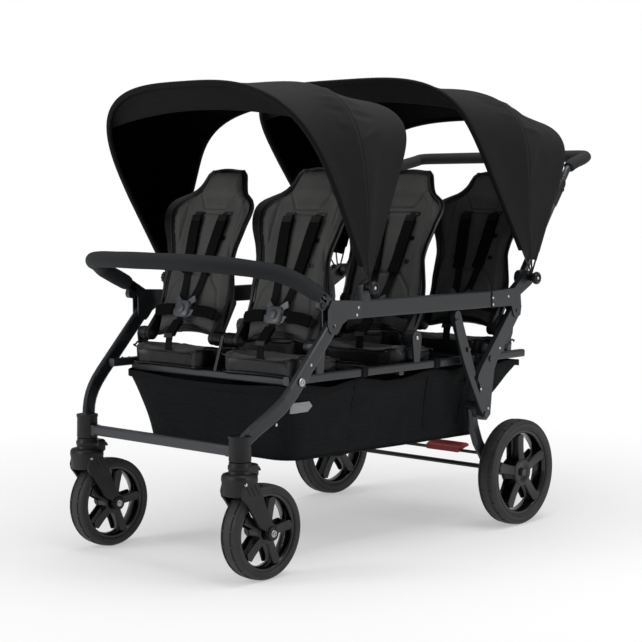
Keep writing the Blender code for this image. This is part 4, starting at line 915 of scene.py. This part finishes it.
bm = bmesh.new()
edges = slab(bm, base_pad_at, 24, 30)
base_pad = from_mesh("base_pad_pattern", bm)
mesh = puffed(base_pad, 5, 5)
for vert in mesh.vertices:
    x, y, z = vert.co / MM
    if z > 30:
        gap = seam_gap(x, y, BASE_SEAMS)
        strap_slot = 4 * math.exp(-((x / 17) ** 2 + ((y + 46) / 5) ** 2))
        wrinkle = noise.noise(Vector((x * 0.03, y * 0.03, 5.0)))
        vert.co.z += (wrinkle - 3.6 * math.exp(-(gap / 4.2) ** 2) - strap_slot) * MM
    vert.co.z = max(vert.co.z, 0.0)
two_tone(mesh, lambda face: not (face.normal.z > 0.42 and face.center.z > 20 * MM))
bm = bmesh.new()
for edge, lift in zip(edges, (-1, 3)):
    cord = [Vector((x * 1.022, y + (3.5 if y > 100 else -3.5 if y < -45 else 0), z + lift))
            for x, y, z in edge]
    piping(bm, cord, circle(2.4, 8))
base_piping = from_mesh("base_piping_pattern", bm)
bm = bmesh.new()
for x in (-85, 85):
    for y in (-40, 85):
        stacked(bm, (x, y, 0), rounded_rect(30, 18, 4, 4), ((-3.5, 1), (-0.4, 1)))
        turned(bm, (x, y, -3.4), -UP, [(0, 4.8), (2, 4), (2.8, AXIS)], 16)
base_feet = from_mesh("base_feet_pattern", bm)
for label, s, y in SEATS:
    spot = (s * SEAT_X, y, BASE_Z)
    pad = fitted(base_pad, f"{label}_base_pad", spot, "chassis")
    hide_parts(f"seat_base_{label}")
    fitted(base_piping, f"{label}_base_piping", spot, "chassis", VINYL)
    fitted(base_feet, f"{label}_base_feet", spot, "chassis", CHROME)
for pattern in (base_pad, base_piping, base_feet):
    bpy.data.objects.remove(pattern)

# Basket: one tray of black knitted mesh, hemmed with tape and hung from the rails by webbing loops, so that
# its rim droops between them, its walls crease from the corners and its floor sags under its own weight.
MESH_CLOTH = woven("knitted_mesh", "#131618", 2.6, 0.8, 0.02, 0.6, 0.45)
RIM_Z = 469.7
TRAY_DEEP = 190.5
LEVELS = 22
HANGERS = (-375, -160, 145, 330, 520)
# Creases in the walls, as (along the wall, down from the rim), each from its start to its end.
END_CREASES = (((-316, 0), (-200, 150)), ((-316, 10), (-120, 196)), ((316, 0), (200, 140)),
               ((316, 10), (110, 190)), ((-50, 20), (-20, 160)), ((90, 30), (120, 180)))
SIDE_CREASES = (((-375, 0), (-250, 180)), ((-160, 0), (-240, 160)), ((-160, 0), (-60, 160)),
                ((145, 0), (50, 170)), ((145, 0), (230, 180)), ((330, 0), (270, 160)))
HANGER_LOOP = ((317.2, 480), (317.2, 495.5), (320, 505.2), (330, 505.8), (340, 505.2), (342.5, 495),
               (340, 481.8), (330, 480.5), (321.5, 479))


def tray_half(depth):
    return 316 - 46 * depth


def tray_ring(depth):
    """One level of the tray, from 0 at the rim to 1 at the floor's edge."""
    front_edge = -410 + 35 * depth
    back_edge = 570 - 159 * min(1.0, depth * 1.28) ** 1.15
    half = tray_half(depth)
    bend, tight = 30 + 30 * depth, 16
    corners = ((half - bend, front_edge + bend, -math.pi / 2, bend),
               (half - tight, back_edge - tight, 0.0, tight),
               (tight - half, back_edge - tight, math.pi / 2, tight),
               (bend - half, front_edge + bend, math.pi, bend))
    points = []
    for k, (cx, cy, start, r) in enumerate(corners):
        for i in range(7):
            a = start + math.pi / 2 * i / 6
            points.append((cx + r * math.cos(a), cy + r * math.sin(a)))
        cx, cy, a, r = corners[(k + 1) % 4]
        x, y = points[-1]
        dx, dy = cx + r * math.cos(a) - x, cy + r * math.sin(a) - y
        runs = 28 if k in (0, 2) else 18
        points += [(x + dx * i / runs, y + dy * i / runs) for i in range(1, runs)]
    return points


rings = []
for i in range(LEVELS + 1):
    depth = i / LEVELS
    slack = (1 - depth) ** 2
    ring = []
    for x, y in tray_ring(depth):
        if abs(x) > 240:
            droop = 16 * min(1.0, min(abs(y - h) for h in HANGERS) / 110) ** 1.3 * slack
            gap = seam_gap(y, depth * 200, SIDE_CREASES)
        else:
            droop = (14 if y < 0 else 6) * (1 - (x / 290) ** 2) * slack
            gap = seam_gap(x, depth * 200, END_CREASES)
        belly = 10 * math.sin(math.pi * depth) - 3.5
        ridge = 3.4 * math.exp(-(gap / 10) ** 2) * min(1, depth * 5)
        ripple = 3.5 * noise.noise(Vector((x * 0.009, y * 0.009, depth * 2.2))) * min(1, depth * 3)
        low = 16 * (y + 410) / 970 * past(depth, 0.6, 1)
        n = Vector((x / 300, (y - 70) / 450, 0)).normalized()
        z = RIM_Z - TRAY_DEEP * depth - droop - low + 4 * (1 - depth)
        ring.append(Vector((x, y, z)) + n * (belly * -0.6 + ridge + ripple))
    rings.append(ring)
middle = Vector((0, 20, 0))
for k in range(1, 9):
    shrink = 1 - k / 9
    drawn_in = shrink**0.3
    ring = []
    for p in rings[LEVELS]:
        q = middle + (Vector((p.x, p.y, 0)) - middle) * shrink
        ripple = 3 * noise.noise(Vector((q.x * 0.008, q.y * 0.008, 9)))
        q.z = p.z * drawn_in + (1 - drawn_in) * 272 - 2 - 30 * (1 - shrink**1.6) + ripple
        ring.append(q)
    rings.append(ring)
bm = bmesh.new()
ring_rows(bm, rings, ends=(-1,))
tray = piece("basket_tray", bm, "chassis", "mesh_cloth", MESH_CLOTH, "basket", angle=80)
area = sum(face.area for face in tray.data.polygons)
doubled(tray, "mesh_cloth", 1.6)
bm = bmesh.new()
piping(bm, rings[0], [(a, b - 6) for a, b in rounded_rect(4.2, 18, 1.8, 3)], True)
piping(bm, rings[LEVELS], [(a + 1, b) for a, b in circle(2.6, 6)], True)
hem_tape = piece("basket_hem", bm, "chassis", "mesh_cloth", TAPE)
bm = bmesh.new()
for s in (1, -1):
    for y, foot in ((-160, -140), (145, 175), (330, 330)):
        run = [(s * 315.5, y, 506), (s * 316.8, y, 485), (s * 320, y, 470)]
        for depth in (k / 8 for k in range(1, 8)):
            run.append((s * (tray_half(depth) + 3.5 - 6 * math.sin(math.pi * depth)), y + (foot - y) * depth,
                        RIM_Z - TRAY_DEEP * depth))
        run += [(s * x, foot, RIM_Z - z) for x, z in ((262, 199), (220, 209), (120, 226), (0, 233))]
        ribbon(bm, run, 24, 2, 3, (0, 1, 0))
        ribbon(bm, [(s * x, y, z) for x, z in HANGER_LOOP], 22, 1.6, 3, (0, 1, 0))
straps_under = piece("basket_webbing", bm, "chassis", "mesh_cloth", WEBBING, angle=50)
PATCH = woven("woven_polyester_patch", "#8d8f90", 1.2, 0.7, 0.1, 0.3)
PATCH_EDGE = ((-398, 432), (-340, 432), (-326, 418.5), (-340, 405), (-398, 405))
bm = bmesh.new()
ring_rows(bm, [[(tray_half((RIM_Z - z) / 190) + d, y, z) for y, z in PATCH_EDGE] for d in (-4, 4.2)])
piece("basket_plain_patch", bm, "chassis", "mesh_cloth", PATCH)

# Bumper bar: a bent steel tube under a closed-cell foam sleeve in two lengths that butt together, plugged
# between the upper joint's cheeks, with a round release button in a clamp under each arm.
FOAM = moulded("closed_cell_foam", "#232528", 0.8, 420.0, 0.6, 0.2)
RAIL_X = 359
ARM_SLOPE = math.radians(29.5)
arm_way = Vector((0, -math.cos(ARM_SLOPE), math.sin(ARM_SLOPE)))
arm_root = Vector((RAIL_X, -285, 663))
clamp_at = arm_root + arm_way * 72
button_at = clamp_at + Vector((0, -4, -21))


def foam_sleeve(name, body, look, stands_for, path, ref, skip, count, hole, radii):
    """Foam pushed over a tube, from the skip-th point of its path to as far from its end."""
    places = frames(path, ref)[skip:-skip]
    ends = [places[0], *places, places[-1]]
    bm = bmesh.new()
    ring_rows(bm, [around(*spot, circle(r, count)) for spot, r in zip(ends, [hole, *radii, hole])])
    piece(name, bm, body, "foam", look, stands_for, angle=60)


half = [arm_root, arm_root + arm_way * 89, Vector((355, -445, 745)), Vector((320, -499, 766)),
        Vector((221, -589, 783))]
bumper_path = through(half + [Vector((0, -635, 788))] + mirrored(half), 10)
bm = bmesh.new()
swept(bm, bumper_path, circle(8.3, 24), UP)
for s in (1, -1):
    swept(bm, [arm_root * Vector((s, 1, 1)) + arm_way * d for d in (-12, 15, 40, 65, 86)],
          rounded_rect(16, 31, 6.2))
    clamp = round_link((clamp_at.y, clamp_at.z - 2, 11.2), (button_at.y, button_at.z, 12.8))
    plate(bm, clamp, s * RAIL_X - 8, s * RAIL_X + 8)
    turned(bm, (s * 366.8, clamp_at.y, clamp_at.z - 1), (s, 0, 0), [(0, 5.2), (1.4, 4.4), (2, AXIS)], 20)
softened(piece("bumper_tube", bm, "bumper", "frame", STEEL, "bumper_bar"), 1)
lengths = [0.0]
for a, b in zip(bumper_path, bumper_path[1:]):
    lengths.append(lengths[-1] + (b - a).length)
first, last = 10, len(bumper_path) - 11
butt = lengths[first] + (lengths[last] - lengths[first]) * 0.585
radii = [21.3 + 0.3 * math.sin(i * 0.9) - 2.6 * math.exp(-((lengths[i] - butt) / 3.5) ** 2)
         for i in range(first, last + 1)]
radii[0] *= 0.9
radii[-1] *= 0.9
foam_sleeve("bumper_foam_sleeve", "bumper", FOAM, "bumper_foam", bumper_path, UP, first, 28, 9.2, radii)
for side, s in SIDES:
    bm = bmesh.new()
    turned(bm, (s * 364, button_at.y, button_at.z), (s, 0, 0),
           [(0, 9), (5.2, 9), (6.6, 7.6), (6.2, 5), (5.6, AXIS)], 24)
    piece(f"{side}_push_button", bm, f"button_{side}", "plastic", CLIP_BLACK, f"release_button_{side}")

# Push handle: two hinged sleeves, a U tube that slides in them behind a moulded collar with a push pin, and a
# foam grip round the bend. The grip foam is softer and duller than the bumper's.
GRIP = moulded("grip_foam", "#242527", 0.85, 420.0, 0.6, 0.3)
HANDLE_LEAN = math.radians(36.5)
HANDLE_X, HANDLE_BACK, HANDLE_TOP = 337, 899, 1075
handle_up = Vector((0, math.sin(HANDLE_LEAN), math.cos(HANDLE_LEAN)))
handle_face = Vector((0, -math.cos(HANDLE_LEAN), math.sin(HANDLE_LEAN)))
for side, s in SIDES:
    hub = Vector((s * HANDLE_X, 540, 715))
    bm = bmesh.new()
    turned(bm, hub, handle_up, [(10, 11.8), (302, 11.8)], 28)
    turned(bm, hub - ALONG_X * 11.5, ALONG_X, [(0, 19), (1.8, 21.8), (21.2, 21.8), (23, 19)])
    piece(f"{side}_handle_tube", bm, "handle_lower", "frame", STEEL, f"handle_sleeve_{side}")
    bm = bmesh.new()
    turned(bm, hub, handle_up,
           [(262, 11.9), (264, 13.8), (300, 14.6), (338, 14.6), (347.5, 12.8), (350, 10.6)], 28, False)
    turned(bm, hub + handle_up * 318 + ALONG_X * s * 14, (s, 0, 0),
           [(0, 6.2), (3, 6), (3.8, 4), (3.6, AXIS)], 20)
    turned(bm, hub, handle_up, [(86, 11.9), (88, 13.4), (128, 13.4), (130, 11.9)], 28, False)
    piece(f"{side}_handle_collar", bm, "handle_lower", "plastic", CLIP_BLACK)
base = Vector((HANDLE_X, 540, 715))
knee = base + handle_up * 385
bend = bezier(knee, knee + handle_up * 40, (HANDLE_X, HANDLE_BACK - 50, HANDLE_TOP - 18),
              (325, HANDLE_BACK - 8, HANDLE_TOP - 3), 12)
turn_in = bezier(bend[-1], bend[-1] + Vector((-8, 8, 3)), (287, HANDLE_BACK, HANDLE_TOP),
                 (257, HANDLE_BACK, HANDLE_TOP), 10)
half = [base + handle_up * 200, base + handle_up * 300] + bend + turn_in[1:]
handle_path = half + [Vector((x, HANDLE_BACK, HANDLE_TOP)) for x in (150, 50, -50, -150)] + mirrored(half)
bm = bmesh.new()
swept(bm, handle_path, circle(9.8, 20), handle_face)
piece("handle_u_tube", bm, "handle_upper", "frame", STEEL, "handle_bar")
radii = [16.6] + [18.0] * (len(handle_path) - 10) + [16.6]
foam_sleeve("handle_foam_grip", "handle_upper", GRIP, "handle_grip", handle_path, handle_face, 4, 26, 10.4,
            radii)

# Front casters: each fork is one nylon moulding, a stepped collar over a round housing that hoods the tyre,
# and two broad waisted arms with three short ribs, down to a zinc-plated hex bolt. A swivel lock stands
# behind the collar, and the fork turns under the leg's socket.
CASTER_X, SWIVEL_Y, AXLE_Y, AXLE_Z = 290, -567, -493.6, 120
ARM_IN = 31.5
ARM_OUT = 40
ARM = [(-597, 231), (-588, 262), (-560, 262.5), (-545, 252), (-536, 240), (-530, 226), (-511, 179.6),
       (-494.7, 149), (-480, 136.5)]
ARM += [(AXLE_Y + 19.5 * math.cos(math.radians(a)), AXLE_Z + 19.5 * math.sin(math.radians(a)))
        for a in range(25, -201, -15)]
ARM += [(-537, 140.5), (-559, 171.8), (-580.5, 201.1), (-594, 217.1)]
# The housing's levels, as (height in front, height behind, share of its full size).
HOUSING = ((219.4, 236, 0.93), (223, 238.5, 0.975), (240.4, 245, 0.965), (260, 260, 1.05), (269, 268, 1.03),
           (274.5, 273, 0.95), (276.8, 275, 0.8))


def bowed(value):
    """Pushes a sine outwards, for a squarish round."""
    return math.copysign(abs(value) ** 0.75, value)


for side, s in SIDES:
    x = s * CASTER_X
    axle = Vector((x, AXLE_Y, AXLE_Z))
    bm = bmesh.new()
    turned(bm, (x, SWIVEL_Y, 0), UP, [(262, 29.6), (277.5, 30.6), (280, 28.8), (283.5, 28.8), (286, 30.4),
                                      (294, 30.2), (296.5, 28.2), (303.2, 27.5)], 40)
    rings = []
    for low, high, grow in HOUSING:
        plan = [(41 * grow * bowed(math.sin(a)), -41 * grow * bowed(math.cos(a)))
                for a in np.linspace(-1.7, 1.7, 27)]
        plan += [(38.5 * grow, 20), (35 * grow, 25.5), (-35 * grow, 25.5), (-38.5 * grow, 20)]
        rings.append([(x + u, SWIVEL_Y + v, low + (high - low) * (v + 41) / 67) for u, v in plan])
    ring_rows(bm, rings)
    for m in (-1, 1):
        plate(bm, ARM, x + m * ARM_IN, x + m * ARM_OUT)
        turned(bm, axle, (m, 0, 0), [(ARM_IN - 5, 10.5), (ARM_IN, 10.5), (ARM_IN, 18), (ARM_OUT + 3, 18),
                                     (ARM_OUT + 4.2, 16.5)])
        for y in (-590, -575.5, -561):
            swept(bm, [(x + m * ARM_OUT, y + 22 * t, 257 - 34 * t) for t in (0, 0.5, 1)], circle(2.2, 8))
    softened(piece(f"{side}_fork_moulding", bm, f"caster_{side}", "plastic", FORK, f"fork_{side}", angle=40),
             1.3, 2, 40)
    bm = bmesh.new()
    ring_rows(bm, [[(x + a * k, SWIVEL_Y + d, z + b * k) for a, b in rounded_rect(30, 34, 5)]
                   for d, k, z in ((20, 1.0, 278.5), (46, 1.0, 278.5), (51.5, 0.86, 278))])
    swept(bm, [(x, SWIVEL_Y + 49, 287), (x, SWIVEL_Y + 58, 283.5), (x, SWIVEL_Y + 63, 276)],
          rounded_rect(18, 5, 2, 4))
    piece(f"{side}_swivel_lock", bm, f"caster_{side}", "plastic", CLIP_BLACK)
    bm = bmesh.new()
    for m in (-1, 1):
        turned(bm, axle + ALONG_X * m * (ARM_OUT + 4.2), (m, 0, 0), [(-2, 9), (0.6, 9), (1, 8.2)], 24)
        turned(bm, axle + ALONG_X * m * (ARM_OUT + 5), (m, 0, 0),
               [(0, 6.6), (3, 6.6), (3.6, 5.8), (3.6, 3.4), (1.4, 3)], 6)
        turned(bm, (x + m * ARM_OUT, -586, 253), (m, 0, 0), [(-2, 4.8), (1, 4.6), (2.2, 3), (2.6, AXIS)], 18)
    piece(f"{side}_wheel_bolt", bm, f"caster_{side}", "frame", CHROME)
    # The leg's steel socket sleeve, in the fork's darker nylon: painted shade for the shadow round the
    # socket.
    bm = bmesh.new()
    turned(bm, (x, SWIVEL_Y, 0), UP,
           [(306, 24), (306, 28), (358, 27.2), (361, 28.8), (366.5, 28.8), (367, 27.6), (367, 24)],
           36, False, True)
    piece(f"{side}_shaded_socket_sleeve", bm, "front_legs", "plastic", FORK)

# Fasteners on the frame: bright drive rivets with domed heads through the side plates and rails, and one hex
# bolt with a washer at each front pivot, all zinc plated.
SKIN = RAIL_X + 8.3
CHEEK = RAIL_X + 12.2
RIVETS = {
    "upper_frame": ((-312, 625, CHEEK), (-221, 667, CHEEK), (-227, 648, CHEEK), (358, 665, CHEEK),
                    (359, 646, CHEEK), (432, 666, CHEEK)),
    "chassis": ((-400, 502, 340), (-375, 501, 340), (389, 487, 340), (417, 486, 340)),
    "front_legs": ((-395, 532.5, SKIN), (-498, 392, 347)),
    "rear_legs": ((310, 410, SKIN), (345, 352, SKIN), (398, 520, SKIN)),
}


def dome(bm, x, y, z, s, radius, tall):
    """A rivet's domed head."""
    turned(bm, (x, y, z), (s, 0, 0), [(-1, radius), (tall * 0.35, radius * 0.96), (tall * 0.8, radius * 0.62),
                                      (tall, AXIS)], 18)


for side, s in SIDES:
    for body, places in RIVETS.items():
        bm = bmesh.new()
        for y, z, x in places:
            dome(bm, s * x, y, z, s, 4.2, 2.2)
        piece(f"{side}_{body}_rivets", bm, body, "frame", CHROME)
    bm = bmesh.new()
    turned(bm, (s * 371.4, -432, 493), (s, 0, 0), [(-3, 10.5), (0.4, 10.5), (0.8, 9.8)], 28)
    turned(bm, (s * 372, -432, 493), (s, 0, 0), [(0, 7.8), (3, 7.8), (3.6, 7), (3.6, 3.6), (1.6, 3.2)], 6)
    piece(f"{side}_front_pivot_bolt", bm, "chassis", "frame", CHROME)

# Hood clamps: a nylon knuckle with a ribbed thumb screw over the wires' eyes, at each of the four hood
# pivots, with a bright rivet in its middle.
for hood, (hub, _) in HOODS.items():
    for side, s in SIDES:
        bm = bmesh.new()
        turned(bm, (s * 386.5, *hub), (s, 0, 0),
               [(0, 16.5), (4, 17.5), (9.5, 16.8), (12.5, 14), (12.8, 9.5), (11, 8.8)], 28)
        for a, b in circle(16.6, 12):
            turned(bm, (s * 388, hub[0] + a, hub[1] + b), (s, 0, 0), [(0, 1.8), (8.5, 1.6), (9, AXIS)], 8)
        piece(f"{hood}_{side}_clamp", bm, "upper_frame", "plastic", CLIP_BLACK)
        bm = bmesh.new()
        dome(bm, s * 397.5, *hub, s, 5, 3)
        piece(f"{hood}_{side}_clamp_rivet", bm, "upper_frame", "frame", CHROME)

# Row hubs: nylon sleeves on the posts, ribbed where the hand grips them to fold a row, with a round recliner
# disc and its rivet at the rear ends. The ribs are moulded with the sleeve.
for row, y in ROWS.items():
    ribs = [(-41.5, 16.5)]
    for k in range(7):
        start = -38.5 + k * 5
        ribs += [(start, 16.8), (start + 0.6, 19.5), (start + 3.4, 19.5), (start + 4, 16.8)]
    ribs = [(d, r) for d, r in ribs if d < -5.8] + [(-5.8, 16.8)]
    bm = bmesh.new()
    turned(bm, (0, y, HUB_Z), ALONG_X, ribs)
    turned(bm, (0, y, HUB_Z), -ALONG_X, ribs)
    turned(bm, (0, y, HUB_Z), ALONG_X, [(-54, 10.8), (54, 10.8)], 24)
    piece(f"{row}_hub_sleeve", bm, f"row_{row}", "plastic", NYLON, f"seat_hub_{row}")
for side, s in SIDES:
    bm = bmesh.new()
    turned(bm, (s * 338.5, ROWS["rear"], HUB_Z), (s, 0, 0),
           [(0, 42.5), (2.5, 44), (5, 43.2), (6.6, 40), (6.6, 18), (5.2, 16.5)], 48)
    piece(f"{side}_recliner_disc", bm, "chassis", "plastic", CLIP_BLACK)
    bm = bmesh.new()
    for row, y in ROWS.items():
        dome(bm, s * (343.7 if row == "rear" else 338), y, HUB_Z, s, 6.2, 3)
    piece(f"{side}_hub_rivets", bm, "chassis", "frame", CHROME)

# Rear wheel frame and brake: bent flat-oval legs welded to the axle bar, in the frame's powder coat, and a
# black rod turned by one rounded red polypropylene pedal, whose tread has raised bars for the shoe.
softened(refinish("rear_axle_frame", STEEL), 1.2)
PEDAL_RED = moulded("red_pedal_polypropylene", "#b00308", 0.38, 300.0, 0.08)
BRAKE_Y, BRAKE_Z = 530, 185
PEDAL_X, PEDAL_WIDE, PEDAL_LONG = 67, 140, 50
bm = bmesh.new()
turned(bm, (0, BRAKE_Y, BRAKE_Z), ALONG_X, [(-269, 4.9), (269, 4.9)], 20)
piece("brake_rod", bm, "brake", "plastic", STEEL, "brake_lever")


def pedal_height(t):
    return BRAKE_Z + 1 + 4 * math.sin(math.pi * t) + 12 * t


rings = []
for k in range(13):
    t = k / 12
    wide = PEDAL_WIDE * (1 - 0.1 * (2 * t - 1) ** 4) * (1 - 0.25 * past(t, 0.85, 1) ** 2)
    thick = 8.5 if t > 0.15 else 14.5 - 20 * t
    rings.append([(PEDAL_X + u, BRAKE_Y - 7 + PEDAL_LONG * t, pedal_height(t) + v)
                  for u, v in rounded_rect(wide, thick, min(4, thick / 2.2))])
bm = bmesh.new()
ring_rows(bm, rings)
for k in range(5):
    y = BRAKE_Y + 12 + 6.5 * k
    z = pedal_height((y - BRAKE_Y + 7) / PEDAL_LONG) + 4
    swept(bm, [(PEDAL_X - 57, y, z), (PEDAL_X, y, z + 0.4), (PEDAL_X + 57, y, z)], circle(1.3, 8), UP)
piece("brake_pedal", bm, "brake", "brake_red", PEDAL_RED)
